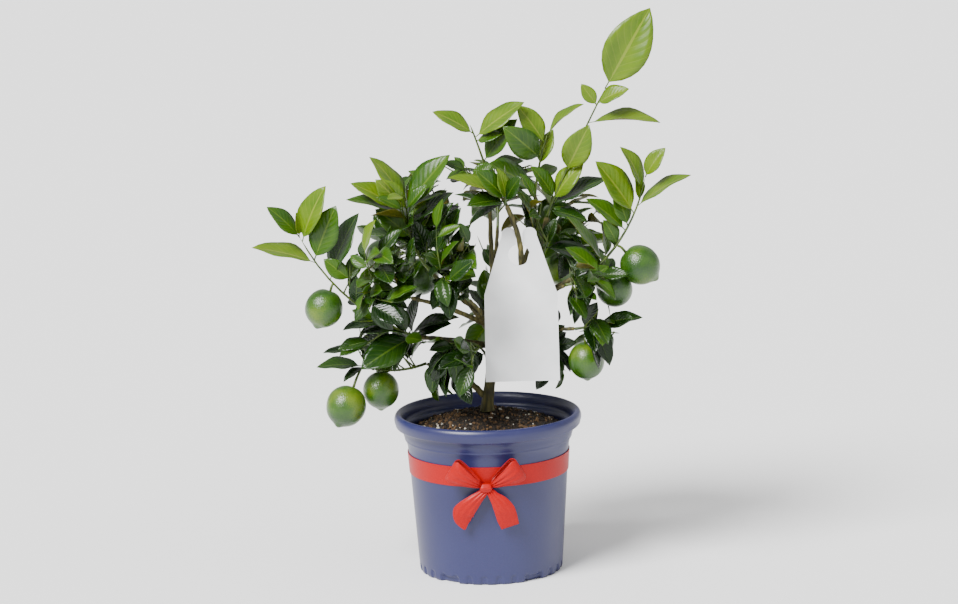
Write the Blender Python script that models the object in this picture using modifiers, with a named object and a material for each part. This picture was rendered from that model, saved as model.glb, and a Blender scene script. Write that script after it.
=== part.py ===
"""A young citrus tree in a plastic pot, with fruit, a card tag and a tied ribbon.

The frame has +Z up, its origin at the middle of the pot's flat underside, and -Y towards the front.
Lengths are in metres, except in the rows of leaves, twigs and fruit, which give millimetres.
"""

import math
import random

import bmesh
import bpy
import numpy as np
from mathutils import Vector

MM = 0.001
GAP = 0.0003

POT_HEIGHT = 0.142
POT_BASE_RADIUS = 0.0635
POT_NECK_RADIUS = 0.0708
POT_NECK_HEIGHT = 0.109
POT_RIM_RADIUS = 0.0825
POT_WALL = 0.0024
POT_FLOOR = 0.009
POT_SIDES = 36
NOTCH_COUNT = 5
NOTCH_RADIUS = 0.0095
DRAIN_HOLES = 4
DRAIN_RADIUS = 0.004

SOIL_TOP = 0.1412
SOIL_EDGE = 0.126
SOIL_FLAT = 0.010
SOIL_ROUGHNESS = 0.0011

BAND_BOTTOM = 0.0900
BAND_WIDTH = 0.0175
RIBBON_THICK = 0.0006
KNOT_CENTRE = Vector((-0.0032, -0.0757, 0.0906))
KNOT_SIZE = (0.0100, 0.0060, 0.0072)

TAG_FRONT = -0.0270
TAG_THICK = 0.0008
TAG_LEFT = -0.0009
TAG_WIDTH = 0.0645
TAG_BOTTOM = 0.1734
TAG_SHOULDER = 0.2505
TAG_TOP = 0.3095
TAG_HOLE = (0.0304, 0.2853)
TAG_HOLE_RADIUS = 0.0094
TAG_SLIT = 0.0309
TAG_SLIT_WIDTH = 0.0058
TAG_LOBE_RADIUS = 0.0062
TAG_KEEP_OUT = ((-0.006, -0.300, 0.160), (0.070, -0.020, 0.314))

CROWN_CENTRE = (0.000, 0.004, 0.258)
CROWN_HALF = (0.122, 0.120, 0.104)
LOWEST_LEAF = 0.152
LIGHT = (-0.25, -0.60, 0.75)

LEAF_SHARES = (0.0, 0.38, 0.72, 1.0)
LEAF_WIDTHS = (0.0, 0.97, 0.74, 0.0)
LEAF_THICK = 0.0009
LEAF_MARGIN = 0.0007
FLAT_ANGLE = 2.0

# The trunk and the boughs: parent, place along it, turn, lift, length, bow, sway, radius at foot and at tip.
TRUNK = dict(turn=4, lift=85, length=0.078, bow=-14, sway=18, foot=0.0050, tip=0.0042, flare=0.0020)
BOUGHS = dict(
    bough_low_left=("trunk", 0.15, 164, 46, 0.056, -33, 34, 0.0028, 0.0015),
    bough_left_long=("trunk", 0.69, -149, 17, 0.072, -10, -22, 0.0028, 0.0019),
    bough_left_middle=("trunk", 0.88, -148, 32, 0.093, -15, -5, 0.0025, 0.0016),
    bough_left_upper=("trunk", 0.97, -174, 32, 0.079, 15, 26, 0.0026, 0.0016),
    bough_left_inner=("trunk", 0.78, -108, 56, 0.057, -18, -32, 0.0022, 0.0015),
    bough_centre=("trunk", 0.98, -9, 69, 0.121, -4, -150, 0.0026, 0.0022),
    bough_left_top=("bough_centre", 0.93, 163, 69, 0.035, -53, -15, 0.0014, 0.0010),
    bough_top_left=("trunk", 0.96, 100, 66, 0.125, 34, 0, 0.0027, 0.0016),
    bough_right_main=("trunk", 1.0, 18, 53, 0.101, 25, -50, 0.0034, 0.0025),
    bough_right_inner=("bough_right_main", 0.20, -24, 63, 0.043, -10, -6, 0.0020, 0.0015),
    bough_top_middle=("bough_right_main", 0.14, 69, 54, 0.102, 35, -143, 0.0020, 0.0015),
    bough_right_reach=("bough_right_main", 0.08, -16, 34, 0.091, -8, 1, 0.0026, 0.0019),
    bough_right_middle=("trunk", 0.81, -19, 57, 0.077, -32, 0, 0.0022, 0.0015),
    bough_right_low=("trunk", 0.64, -17, 38, 0.074, -36, -5, 0.0023, 0.0016),
    bough_back_left=("trunk", 0.80, 130, 34, 0.070, 6, -8, 0.0026, 0.0017),
    bough_back_right=("trunk", 0.88, 55, 34, 0.070, 6, 8, 0.0026, 0.0017),
    bough_back_top=("bough_top_left", 0.35, 80, 45, 0.045, 20, 0, 0.0020, 0.0015),
    bough_back_low=("trunk", 0.45, 85, 22, 0.058, 4, 0, 0.0024, 0.0016),
)

# The masses of foliage. A stem is turn, lift, length, bow and sway. A twig is its place on the stem,
# turn, lift and length. A leaf is its axis (0 the stem, 1 the first twig), place on it, turn, lift,
# length and roll. A fruit is its axis, place, turn, lift, reach to its middle and radius.
# more: twigs grown by the rule, reach: their length, count: leaves on each, size: their length.
MASSES = dict(
    leaves_left_reach=dict(
        on="bough_left_long", stem=(-171, 23, 138, 41, -7), more=1, reach=42, count=2, size=36,
        twigs=((0.16, -166, -30, 40), (0.54, -43, 57, 16)),
        leaves=(
            (0, 0.99, 180, 45, 39, 55), (0, 0.96, -15, 65, 54, -45), (0, 0.82, -25, 65, 54, -25),
            (0, 0.80, 180, 15, 57, 75), (0, 0.66, 10, 65, 63, -60), (2, 0.95, 180, 40, 29, 10),
            (2, 0.84, 55, 60, 26, -5), (0, 0.44, -75, 70, 27, 0), (0, 0.22, 0, 70, 28, -5),
            (0, 0.22, -160, -5, 38, 75), (0, 0.05, -160, 5, 43, 80), (1, 0.57, -165, -10, 30, 55),
            (1, 0.70, -150, -15, 27, 60), (1, 1.00, 180, 0, 27, 75), (0, 0.01, -155, -25, 56, 35),
            (0, 0.01, -25, 20, 39, -70), (0, 0.02, -25, 60, 39, -65), (0, 0.04, -10, 35, 47, -80),
            (0, 0.06, -155, 70, 29, 5), (0, 0.03, -135, -55, 36, 60), (0, 1.00, 180, 85, 21, 50),
        ),
        fruit=((0, 0.63, -155, -65, 23, 16.2),),
    ),
    leaves_left_low=dict(
        on="bough_low_left", stem=(-168, -18, 57, 39, -3), more=3, reach=42, count=3, size=42,
        leaves=(
            (0, 1.00, -180, 0, 40, 70), (0, 0.97, -155, -30, 23, 65), (0, 0.59, -105, 50, 19, 5),
            (0, 0.80, -140, -40, 26, 5),
        ),
        fruit=((0, 1.00, -137, -58, 38, 17.4), (0, 0.70, -142, -88, 18, 15.8)),
    ),
    leaves_left_middle=dict(
        on="bough_left_middle", stem=(-161, 34, 46, -14, -13), more=2, reach=42, count=3, size=34,
        twigs=((0.17, -101, 78, 33),),
        leaves=(
            (0, 0.27, -160, -15, 30, 55), (0, 0.39, -165, 35, 25, 45), (1, 0.90, -150, 30, 14, 10),
            (0, 0.14, -45, 65, 43, -55), (0, 0.11, 15, 70, 25, -45), (0, 0.96, -65, -70, 18, -10),
        ),
    ),
    leaves_left_upper=dict(
        on="bough_left_upper", stem=(-168, 50, 61, 41, 33), more=2, reach=42, count=3, size=42,
        twigs=((0.10, -81, 58, 28), (0.54, -148, 69, 32)),
        leaves=(
            (0, 1.00, 170, 55, 55, 65), (0, 1.00, 0, 50, 60, -50), (0, 1.00, -160, 45, 39, 10),
            (2, 0.90, -180, 30, 49, 60), (2, 0.84, -175, 15, 49, 75), (0, 0.56, 175, 40, 40, 25),
            (0, 0.49, -170, 15, 44, 80), (0, 0.46, 170, 20, 30, 65), (0, 0.76, -5, 35, 49, -70),
            (0, 0.88, 20, 30, 26, -45), (1, 0.44, -130, 65, 36, 20), (1, 0.69, -30, 50, 25, -5),
        ),
        fruit=((0, 0.46, 148, -22, 35, 15.2),),
    ),
    leaves_left_inner=dict(
        on="bough_left_inner", stem=(-129, 50, 44, 30, -13), more=2, reach=42, count=3, size=42,
        twigs=((1.00, 151, 78, 17),),
        leaves=(
            (1, 0.86, -180, 75, 25, 40), (1, 0.95, -25, 65, 31, -50), (0, 1.00, 0, 60, 33, -50),
            (0, 0.83, -165, 25, 29, 10), (0, 0.32, -155, -25, 21, 10),
        ),
        fruit=((0, 1.00, 69, -9, 21, 13.5),),
    ),
    leaves_front_low=dict(
        on="trunk", at=0.50, stem=(-111, 61, 62, -71, -30), more=2, reach=42, count=3, size=36,
        leaves=(
            (0, 1.00, -170, -50, 35, 75), (0, 1.00, 165, -60, 37, 35), (0, 1.00, -70, -75, 35, -35),
            (0, 1.00, 180, -80, 40, 75), (0, 0.88, -30, -50, 28, -5), (0, 0.96, -155, -5, 24, 50),
        ),
    ),
    leaves_centre=dict(
        on="bough_centre", stem=(276, 86, 34, 21, -12), more=3, reach=42, count=3, size=42,
        leaves=(
            (0, 0.04, -175, 25, 54, 75), (0, 0.04, -155, 0, 37, 60), (0, 0.12, -160, 45, 38, 35),
            (0, 0.10, -150, 75, 29, 45), (0, 0.06, -30, 55, 28, -40), (0, 0.03, -175, -30, 35, 75),
        ),
    ),
    leaves_left_top=dict(
        on="bough_left_top", stem=(168, 14, 21, 44, -32), more=2, reach=30, count=3, size=30,
        leaves=(
            (0, 0.92, -170, 20, 21, 50), (0, 0.72, -145, 0, 13, 15), (0, 1.00, 155, 45, 14, 45),
            (0, 0.53, 0, 30, 22, -25),
        ),
    ),
    leaves_top_left=dict(
        on="bough_top_left", stem=(-139, 71, 56, -2, -22), more=2, reach=42, count=3, size=36,
        leaves=(
            (0, 0.76, -10, 35, 54, -60), (0, 0.82, -180, 30, 41, 60), (0, 0.34, -20, 50, 50, -50),
            (0, 0.22, 0, 10, 34, -60), (0, 0.70, -30, 15, 27, -60),
        ),
    ),
    leaves_top_middle=dict(
        on="bough_top_middle", stem=(-51, 80, 56, -10, 31), more=3, reach=42, count=3, size=36,
        leaves=(
            (0, 0.58, -150, 40, 49, 10), (0, 0.83, 170, 55, 41, 25), (0, 0.96, -10, 40, 43, -80),
            (0, 0.46, 25, 65, 34, -45), (0, 0.04, -150, 30, 60, 65),
        ),
    ),
    leaves_top_right=dict(
        on="bough_right_main", stem=(-22, 67, 123, -5, 24), more=3, reach=42, count=3, size=34,
        leaves=(
            (0, 1.00, -5, 60, 80, -5), (0, 0.88, -20, 25, 32, -50), (0, 0.87, 180, 55, 23, 5),
            (0, 0.73, -10, 0, 63, -80), (0, 0.35, -30, 60, 48, -5), (0, 0.12, -10, 50, 42, -45),
            (0, 0.08, -5, 25, 54, -70), (0, 0.04, -20, -15, 36, -60), (0, 0.13, -160, 55, 37, 45),
            (0, 0.06, 20, -5, 20, -45),
        ),
    ),
    leaves_right_reach=dict(
        on="bough_right_reach", stem=(-12, 46, 87, 31, 35), more=2, reach=42, count=3, size=34,
        leaves=(
            (0, 0.04, -170, 45, 52, 75), (0, 0.08, -180, 85, 33, 60), (0, 0.27, -155, 60, 26, 25),
            (0, 0.43, 175, 40, 44, 55), (0, 0.48, 160, 70, 34, 35), (0, 0.62, -170, 55, 58, 45),
            (0, 0.86, 180, 65, 43, 60), (0, 1.00, -5, 55, 31, -35), (0, 0.69, -5, 30, 55, -80),
            (0, 0.76, 120, 80, 23, 45),
        ),
        fruit=((0, 0.26, -6, -41, 27, 17.0),),
    ),
    leaves_right_middle=dict(
        on="bough_right_middle", stem=(-22, 7, 33, 18, 8), more=2, reach=42, count=3, size=42,
        leaves=(
            (0, 1.00, -5, 5, 25, -35), (0, 1.00, -170, -50, 44, 65), (0, 0.96, 170, 20, 40, 55),
            (0, 0.52, 25, 30, 25, -10), (0, 0.24, 25, 45, 29, -15),
        ),
        fruit=((0, 0.96, 42, -38, 22, 15.6),),
    ),
    leaves_right_inner=dict(
        on="bough_right_inner", stem=(-29, 41, 27, 43, -7), more=2, reach=42, count=3, size=42,
        leaves=(
            (0, 0.55, -20, 5, 45, -35), (0, 0.52, -15, -20, 49, -60), (0, 0.58, -150, 65, 58, 35),
            (0, 0.58, 25, 65, 26, -40),
        ),
    ),
    leaves_right_low=dict(
        on="bough_right_low", stem=(-24, 11, 25, -4, 19), more=2, reach=42, count=3, size=42,
        leaves=(
            (0, 0.78, -5, 10, 40, -70), (0, 1.00, -30, 15, 31, -45), (0, 0.50, -30, -60, 38, -45),
            (0, 0.42, -50, -25, 23, -40), (0, 0.28, -25, 60, 27, -20), (0, 0.34, -85, -65, 42, -70),
        ),
        fruit=((0, 0.31, 64, -84, 30, 15.8),),
    ),
    leaves_right_under=dict(
        on="trunk", at=0.56, stem=(3, 56, 57, -85, -36), more=2, reach=42, count=3, size=36,
        leaves=(
            (0, 1.00, -20, -60, 25, -60), (0, 1.00, -60, -70, 36, -60), (0, 0.92, -15, 10, 23, -10),
            (0, 0.94, 95, -85, 30, 55),
        ),
    ),
    leaves_back_left=dict(
        on="bough_back_left", stem=(140, 36, 60, 20, 0), more=6, reach=55, count=3, size=47,
        fruit=((0, 0.70, 150, -75, 30, 16.0),),
    ),
    leaves_back_right=dict(
        on="bough_back_right", stem=(50, 36, 60, 20, 0), more=6, reach=55, count=3, size=47,
        fruit=((0, 0.70, 40, -75, 30, 16.5),),
    ),
    leaves_back_top=dict(on="bough_back_top", stem=(85, 58, 55, 20, 0), more=6, reach=50, count=3, size=46),
    leaves_back_low=dict(on="bough_back_low", stem=(88, 22, 60, 10, 0), more=6, reach=50, count=3, size=45),
)
STEM_RADII = (0.0015, 0.0009)
TWIG_RADII = (0.0010, 0.0006)


# Directions and paths

def unit(v):
    return v / np.linalg.norm(v)


def heading(turn, lift):
    """Unit vector: turn is measured from +X towards +Y, lift above the level, in degrees."""
    t, l = math.radians(turn), math.radians(lift)
    return np.array([math.cos(l) * math.cos(t), math.cos(l) * math.sin(t), math.sin(l)])


def walk(start, turn, lift, length, bow=0.0, sway=0.0, steps=8):
    """Points of a path whose lift changes by bow and whose turn changes by sway from foot to tip."""
    points = [np.array(start, float)]
    for i in range(steps):
        t = (i + 0.5) / steps
        points.append(points[-1] + heading(turn + sway * t, lift + bow * t) * length / steps)
    return np.array(points)


def place(path, share):
    """Point and direction at that share of the path."""
    k = share * (len(path) - 1)
    i = min(int(k), len(path) - 2)
    return path[i] + (path[i + 1] - path[i]) * (k - i), unit(path[i + 1] - path[i])


def turned(v, axis, angle):
    """The vector v turned about the unit axis by the angle in degrees."""
    a = math.radians(angle)
    return v * math.cos(a) + np.cross(axis, v) * math.sin(a) + axis * np.dot(axis, v) * (1 - math.cos(a))


def pairs(path):
    """The path's segments, as start and end points."""
    return np.stack([path[:-1], path[1:]], 1)


def spacing(points, segments):
    """Distance of each point to each segment."""
    a, d = segments[:, 0], segments[:, 1] - segments[:, 0]
    q = points[:, None] - a[None]
    t = np.clip((q * d).sum(-1) / (d * d).sum(-1), 0, 1)
    return np.linalg.norm(q - d * t[..., None], axis=-1)


def crossings(segments, triangles):
    """Whether any of the segments passes through any of the triangles."""
    if not len(segments) or not len(triangles):
        return False
    a, d = segments[:, 0], segments[:, 1] - segments[:, 0]
    corner, e1, e2 = triangles[:, 0], triangles[:, 1] - triangles[:, 0], triangles[:, 2] - triangles[:, 0]
    h = np.cross(d[:, None], e2[None])
    det = (e1[None] * h).sum(-1)
    fine = np.abs(det) > 1e-14
    inverse = 1 / np.where(fine, det, 1)
    s = a[:, None] - corner[None]
    u = (s * h).sum(-1) * inverse
    q = np.cross(s, e1[None])
    v = (d[:, None] * q).sum(-1) * inverse
    t = (e2[None] * q).sum(-1) * inverse
    return bool((fine & (u >= 0) & (v >= 0) & (u + v <= 1) & (t >= 0) & (t <= 1)).any())


# Limbs and leaves as shapes

def limb_foot(limb, share, turn, lift, radius):
    """Start of a side limb, just clear of the parent's surface, or just past the parent's tip."""
    path, foot, tip = limb
    point, along = place(path, share)
    h = heading(turn, lift)
    c = float(np.dot(h, along))
    if share >= 1:
        return point + along * (GAP + radius * math.sqrt(max(0.0, 1 - c * c)))
    out = unit(h - along * c)
    return point + out * (foot + (tip - foot) * share + GAP + radius * abs(c))


def trunk_path():
    """A short upright piece, so that the cut at the soil is level, and then the leaning trunk."""
    low = np.array([0.0, 0.0, SOIL_TOP + GAP])
    return np.vstack([[low], walk(low + [0, 0, 0.004], TRUNK["turn"], TRUNK["lift"], TRUNK["length"],
                                  TRUNK["bow"], TRUNK["sway"])])


def all_limbs():
    """Name of each limb to its path and its radius at foot and tip."""
    limbs = {"trunk": (trunk_path()[1:], TRUNK["foot"], TRUNK["tip"])}
    for name, (parent, share, turn, lift, length, bow, sway, foot, tip) in BOUGHS.items():
        start = limb_foot(limbs[parent], share, turn, lift, foot)
        limbs[name] = (walk(start, turn, lift, length, bow, sway), foot, tip)
    return limbs


def midrib(leaf, shares):
    """Point, across and normal at each share of a leaf whose midrib bends evenly away from its face."""
    root, along, face, length, width, arch, fold = leaf
    s = np.asarray(shares, float)
    a = math.radians(arch)
    bend = a * s
    mid = root + length * (along * (np.sin(bend) / a)[:, None] - face * ((1 - np.cos(bend)) / a)[:, None])
    normal = face * np.cos(bend)[:, None] + along * np.sin(bend)[:, None]
    return mid, np.cross(along, face), normal


def leaf_outline(leaf, shift=0.0):
    """Midrib points and the two edges at the leaf's sections, moved off the blade by shift."""
    mid, across, normal = midrib(leaf, LEAF_SHARES)
    half = leaf[4] * np.array(LEAF_WIDTHS)[:, None] / 2
    f = math.radians(leaf[6])
    lift = normal * shift * np.array([0.3, 1, 1, 0.3])[:, None]
    left = mid + half * (normal * math.sin(f) - across * math.cos(f)) + lift
    right = mid + half * (normal * math.sin(f) + across * math.cos(f)) + lift
    return mid + lift, left, right


def leaf_samples(leaf):
    """Points all over the blade, apart from its root."""
    mid, left, right = leaf_outline(leaf)
    between = [(left[1:2] + left[2:3]) / 2, (right[1:2] + right[2:3]) / 2]
    between += [(left[2:3] + mid[3:]) / 2, (right[2:3] + mid[3:]) / 2]
    return np.concatenate([mid[1:], left[1:3], right[1:3], midrib(leaf, (0.25, 0.55, 0.85))[0]] + between)


def leaf_triangles(leaf, shift=0.0):
    """The blade as eight triangles."""
    mid, left, right = leaf_outline(leaf, shift)
    found = []
    for side in (left, right):
        found += [(mid[0], side[1], mid[1]), (mid[1], side[1], side[2])]
        found += [(mid[1], side[2], mid[2]), (mid[2], side[2], mid[3])]
    return np.array(found)


def sides(triangles):
    """All edges of the triangles, as segments."""
    return np.concatenate([triangles[:, [0, 1]], triangles[:, [1, 2]], triangles[:, [2, 0]]])


# The rule that grows the crown

class Mass:
    """One mass of foliage: its stem and twigs as paths, its leaves and its fruit."""

    def __init__(self, name, sizes, limbs):
        self.name = name
        self.sizes = sizes
        turn, lift, length, bow, sway = sizes["stem"]
        foot = limb_foot(limbs[sizes["on"]], sizes.get("at", 1.0), turn, lift, STEM_RADII[0])
        self.axes = [walk(foot, turn, lift, length * MM, bow, sway, 5)]
        for share, turn, lift, length in sizes.get("twigs", ()):
            self.axes.append(walk(place(self.axes[0], share)[0], turn, lift, length * MM, steps=3))
        self.fruit = []
        for axis, share, turn, lift, reach, radius in sizes.get("fruit", ()):
            stalk = place(self.axes[axis], share)[0]
            hang = heading(turn, lift)
            self.fruit.append((stalk, hang, stalk + hang * reach * MM, radius * MM))
        self.leaves = []
        self.blades = []
        self.named = 0

    def named_leaf(self, row, nudge):
        """A leaf of the row, with its turn, lift and roll changed by the nudge."""
        axis, share, turn, lift, length, roll = row
        chord = heading(turn + nudge[0], lift + nudge[1])
        front = np.array([0.0, -1.0, 0.0])
        face = turned(unit(front - chord * np.dot(front, chord)), chord, roll + nudge[2])
        rng = random.Random(int(share * 100) + turn)
        arch = rng.uniform(10, 36)
        half = math.radians(arch / 2)
        along = chord * math.cos(half) + face * math.sin(half)
        up = face * math.cos(half) - chord * math.sin(half)
        size = length * MM * half / math.sin(half)
        ratio = rng.uniform(0.48, 0.54)
        return (place(self.axes[axis], share)[0], along, up, size, size * ratio, arch, rng.uniform(6, 20))

    def spine(self):
        """What the mass's own space is measured from: its axes and the midribs of its named leaves."""
        found = [pairs(axis) for axis in self.axes]
        for row in self.sizes.get("leaves", ()):
            found.append(pairs(midrib(self.named_leaf(row, (0, 0, 0)), (0.0, 0.5, 1.0))[0]))
        return np.concatenate(found)

    def add(self, leaf):
        self.leaves.append(leaf)
        self.blades.append(np.concatenate([leaf_triangles(leaf, s) for s in (-LEAF_MARGIN, 0, LEAF_MARGIN)]))


class Crown:
    """All masses together, each in its own space."""

    def __init__(self):
        self.limbs = all_limbs()
        self.masses = {name: Mass(name, sizes, self.limbs) for name, sizes in MASSES.items()}
        spines = [mass.spine() for mass in self.masses.values()]
        self.spine = np.concatenate(spines)
        self.owner = np.concatenate([np.full(len(s), i) for i, s in enumerate(spines)])
        self.order = {name: i for i, name in enumerate(self.masses)}
        self.fruit = np.array([
            [*middle, radius, i]
            for i, mass in enumerate(self.masses.values())
            for _, _, middle, radius in mass.fruit
        ])
        self.limb_segments = np.concatenate([pairs(path) for path, _, _ in self.limbs.values()])
        self.limb_radii = np.concatenate([np.full(len(p) - 1, foot) for p, foot, _ in self.limbs.values()])
        self.skipped = 0
        for mass in self.masses.values():
            for row in mass.sizes.get("leaves", ()):
                self.add_named(mass, row)
            mass.named = len(mass.leaves)
        for mass in self.masses.values():
            self.fill(mass)

    def own(self, points, name):
        """How much further each point is from the other masses' spines and fruit than from its own."""
        mine = self.order[name]
        reach = spacing(points, self.spine)
        ball = np.linalg.norm(points[:, None] - self.fruit[None, :, :3], axis=-1) - self.fruit[None, :, 3]
        near = reach[:, self.owner == mine].min(1)
        if (self.fruit[:, 4] == mine).any():
            near = np.minimum(near, ball[:, self.fruit[:, 4] == mine].min(1))
        rest = np.minimum(reach[:, self.owner != mine].min(1), ball[:, self.fruit[:, 4] != mine].min(1))
        return rest - near

    def in_crown(self, points):
        return (np.abs((points - CROWN_CENTRE) / np.array(CROWN_HALF)) ** 3).sum(-1) < 1

    def blocked(self, points, limb_space, fruit_space, lowest):
        """Whether a point is in the tag's space, too low, or too near to a limb or a fruit."""
        low, high = np.array(TAG_KEEP_OUT)
        if ((points > low) & (points < high)).all(-1).any() or (points[:, 2] < lowest).any():
            return True
        if (spacing(points, self.limb_segments) < self.limb_radii + limb_space).any():
            return True
        reach = np.linalg.norm(points[:, None] - self.fruit[None, :, :3], axis=-1)
        return bool((reach < self.fruit[:, 3] + fruit_space).any())

    def nearby(self, centre, others_only=None):
        """Blades near the point, of all masses or of the others only."""
        found = [
            blade
            for mass in self.masses.values() if mass is not others_only
            for blade in mass.blades if np.linalg.norm(blade[0, 2] - centre) < 0.075
        ]
        return np.concatenate(found) if found else np.zeros((0, 3, 3))

    def blade_fits(self, leaf, mass, axis, others_only):
        """Whether the blade misses every limb, every other twig and every other blade."""
        blade = np.concatenate([leaf_triangles(leaf, s) for s in (-LEAF_MARGIN, 0, LEAF_MARGIN)])
        centre = blade[:8].mean((0, 1))
        twigs = [self.limb_segments]
        for other in self.masses.values():
            twigs += [pairs(path) for path in other.axes if path is not axis and not (others_only and other is mass)]
        twigs = np.concatenate(twigs)
        twigs = twigs[np.linalg.norm(twigs[:, 0] - centre, axis=1) < 0.07]
        if crossings(twigs, blade):
            return False
        near = self.nearby(centre, mass if others_only else None)
        return not (crossings(sides(blade), near) or crossings(sides(near), blade))

    def add_named(self, mass, row):
        """Adds a named leaf, turned a little where it would touch something, or skips it."""
        axis = mass.axes[row[0]]
        nudges = [(0, 0, 0)]
        for step in (8, 16, 26):
            nudges += [(0, 0, step), (0, 0, -step), (step, 0, 0), (-step, 0, 0), (0, step, 0), (0, -step, 0)]
            nudges += [(step, step, 0), (-step, -step, 0), (step, -step, 0), (-step, step, 0)]
        for nudge in nudges:
            leaf = mass.named_leaf(row, nudge)
            if self.blocked(leaf_samples(leaf), 0.0018, 0.0018, 0.149):
                continue
            if self.blade_fits(leaf, mass, axis, True):
                mass.add(leaf)
                return
        self.skipped += 1

    def twig_fits(self, path, mass):
        fine = np.concatenate([path[1:], (path[1:] + path[:-1]) / 2])
        if self.blocked(fine, 0.002, 0.002, LOWEST_LEAF + 0.006) or not self.in_crown(path[1:]).all():
            return False
        if (self.own(fine, mass.name) < 0.0015).any():
            return False
        return not crossings(pairs(path), self.nearby(path[2]))

    def leaf_fits(self, leaf, mass, axis):
        points = leaf_samples(leaf)
        if self.blocked(points, 0.0015, 0.001, LOWEST_LEAF) or not self.in_crown(points).all():
            return False
        if (self.own(points, mass.name) < 0.0018).any():
            return False
        return self.blade_fits(leaf, mass, axis, False)

    def fill(self, mass):
        """Twigs set along the stem by a seeded rule, and leaves set round the stem and each such twig."""
        rng = random.Random(1000 + len(mass.name))
        grown = [mass.axes[0]]
        for i in range(mass.sizes["more"]):
            base = mass.axes[rng.randrange(len(mass.axes))] if i % 2 else mass.axes[0]
            point, along = place(base, rng.uniform(0.15, 0.85))
            for _ in range(16):
                out = turned(unit(np.cross(along, [0.01, 0.01, 1.01])), along, rng.uniform(0, 360))
                h = unit(along * rng.uniform(0.4, 1.0) + out + np.array([0, 0, 0.25]))
                turn, lift = math.degrees(math.atan2(h[1], h[0])), math.degrees(math.asin(h[2]))
                length = mass.sizes["reach"] * MM * rng.uniform(0.75, 1.1)
                path = walk(point, turn, lift, length, 14, rng.uniform(-25, 25), 3)
                if self.twig_fits(path, mass):
                    mass.axes.append(path)
                    grown.append(path)
                    break
        for path in grown:
            phase = rng.uniform(0, 360)
            count = mass.sizes["count"]
            for i in range(count + 1):
                self.grow_leaf(mass, rng, path, 0.22 + 0.78 * i / count, phase + 137.5 * i)

    def grow_leaf(self, mass, rng, path, share, around):
        """Tries a leaf at 16 places round the twig and keeps the first that fits."""
        point, along = place(path, share)
        side = unit(np.cross(along, [0.01, 0.01, 1.01]))
        length = mass.sizes["size"] * MM * rng.uniform(0.75, 1.15)
        arch, fold, ratio = rng.uniform(8, 45), rng.uniform(8, 24), rng.uniform(0.46, 0.54)
        spread = math.radians(rng.uniform(38, 62) * (1 if share < 0.95 else 0.4))
        nudge = np.array([rng.uniform(-1, 1) for _ in range(3)])
        outward = unit((point - CROWN_CENTRE) * np.array([1, 1, 0.3]))
        wish = unit(np.array(LIGHT)) * 0.35 + outward * 0.45 + np.array([0, 0, 0.5]) + nudge * 0.4
        for attempt in range(16):
            out = turned(side, along, around + 53 * attempt + rng.uniform(-10, 10))
            if attempt == 9:
                length *= 0.75
            chord = unit(along * math.cos(spread) + out * math.sin(spread))
            face = wish - chord * np.dot(wish, chord)
            if np.linalg.norm(face) < 0.15:
                face = np.cross(chord, side)
            leaf = (point, chord, unit(face), length, length * ratio, arch, fold)
            if self.leaf_fits(leaf, mass, path):
                mass.add(leaf)
                return


# Blender objects

def clear_scene():
    for obj in list(bpy.data.objects):
        bpy.data.objects.remove(obj, do_unlink=True)


def new_collection(name, helper=False):
    collection = bpy.data.collections.new(name)
    bpy.context.scene.collection.children.link(collection)
    collection.hide_render = helper
    return collection


def material(name, colour, roughness, metallic=0.0):
    made = bpy.data.materials.new(name)
    made.use_nodes = True
    shader = made.node_tree.nodes["Principled BSDF"]
    shader.inputs["Base Color"].default_value = (*colour, 1)
    shader.inputs["Roughness"].default_value = roughness
    shader.inputs["Metallic"].default_value = metallic
    made.diffuse_color = (*colour, 1)
    return made


def add_object(name, data, collection, surface=None):
    obj = bpy.data.objects.new(name, data)
    collection.objects.link(obj)
    if surface:
        data.materials.append(surface)
    return obj


def mesh_from(name, points, faces):
    mesh = bpy.data.meshes.new(name)
    mesh.from_pydata([tuple(map(float, p)) for p in points], [], faces)
    mesh.validate()
    return mesh


def outward(mesh):
    """Turns a closed mesh's faces outwards."""
    bm = bmesh.new()
    bm.from_mesh(mesh)
    bmesh.ops.recalc_face_normals(bm, faces=bm.faces)
    bm.to_mesh(mesh)
    bm.free()
    return mesh


def smooth(obj, angle=40):
    obj.data.shade_smooth()
    obj.data.set_sharp_from_angle(angle=math.radians(angle))


def turned_profile(name, profile, collection, surface):
    """A body of revolution round Z from a profile of radius and height, with a Screw modifier."""
    mesh = mesh_from(name, [(r, 0, z) for r, z in profile], [])
    mesh.edges.add(len(profile) - 1)
    for i, edge in enumerate(mesh.edges):
        edge.vertices = (i, i + 1)
    obj = add_object(name, mesh, collection, surface)
    screw = obj.modifiers.new("Turn", "SCREW")
    screw.steps = POT_SIDES
    screw.render_steps = POT_SIDES
    screw.use_merge_vertices = True
    screw.merge_threshold = 0.00001
    screw.use_smooth_shade = True
    return obj


def pot_radius(height):
    """Outer radius of the pot's body, which widens evenly from the foot to the neck."""
    share = (height - 0.005) / (POT_NECK_HEIGHT - 0.005)
    return POT_BASE_RADIUS + (POT_NECK_RADIUS - POT_BASE_RADIUS) * share


def bore_radius(height):
    """Inner radius of the pot below its ledge."""
    return pot_radius(height) - POT_WALL


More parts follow.
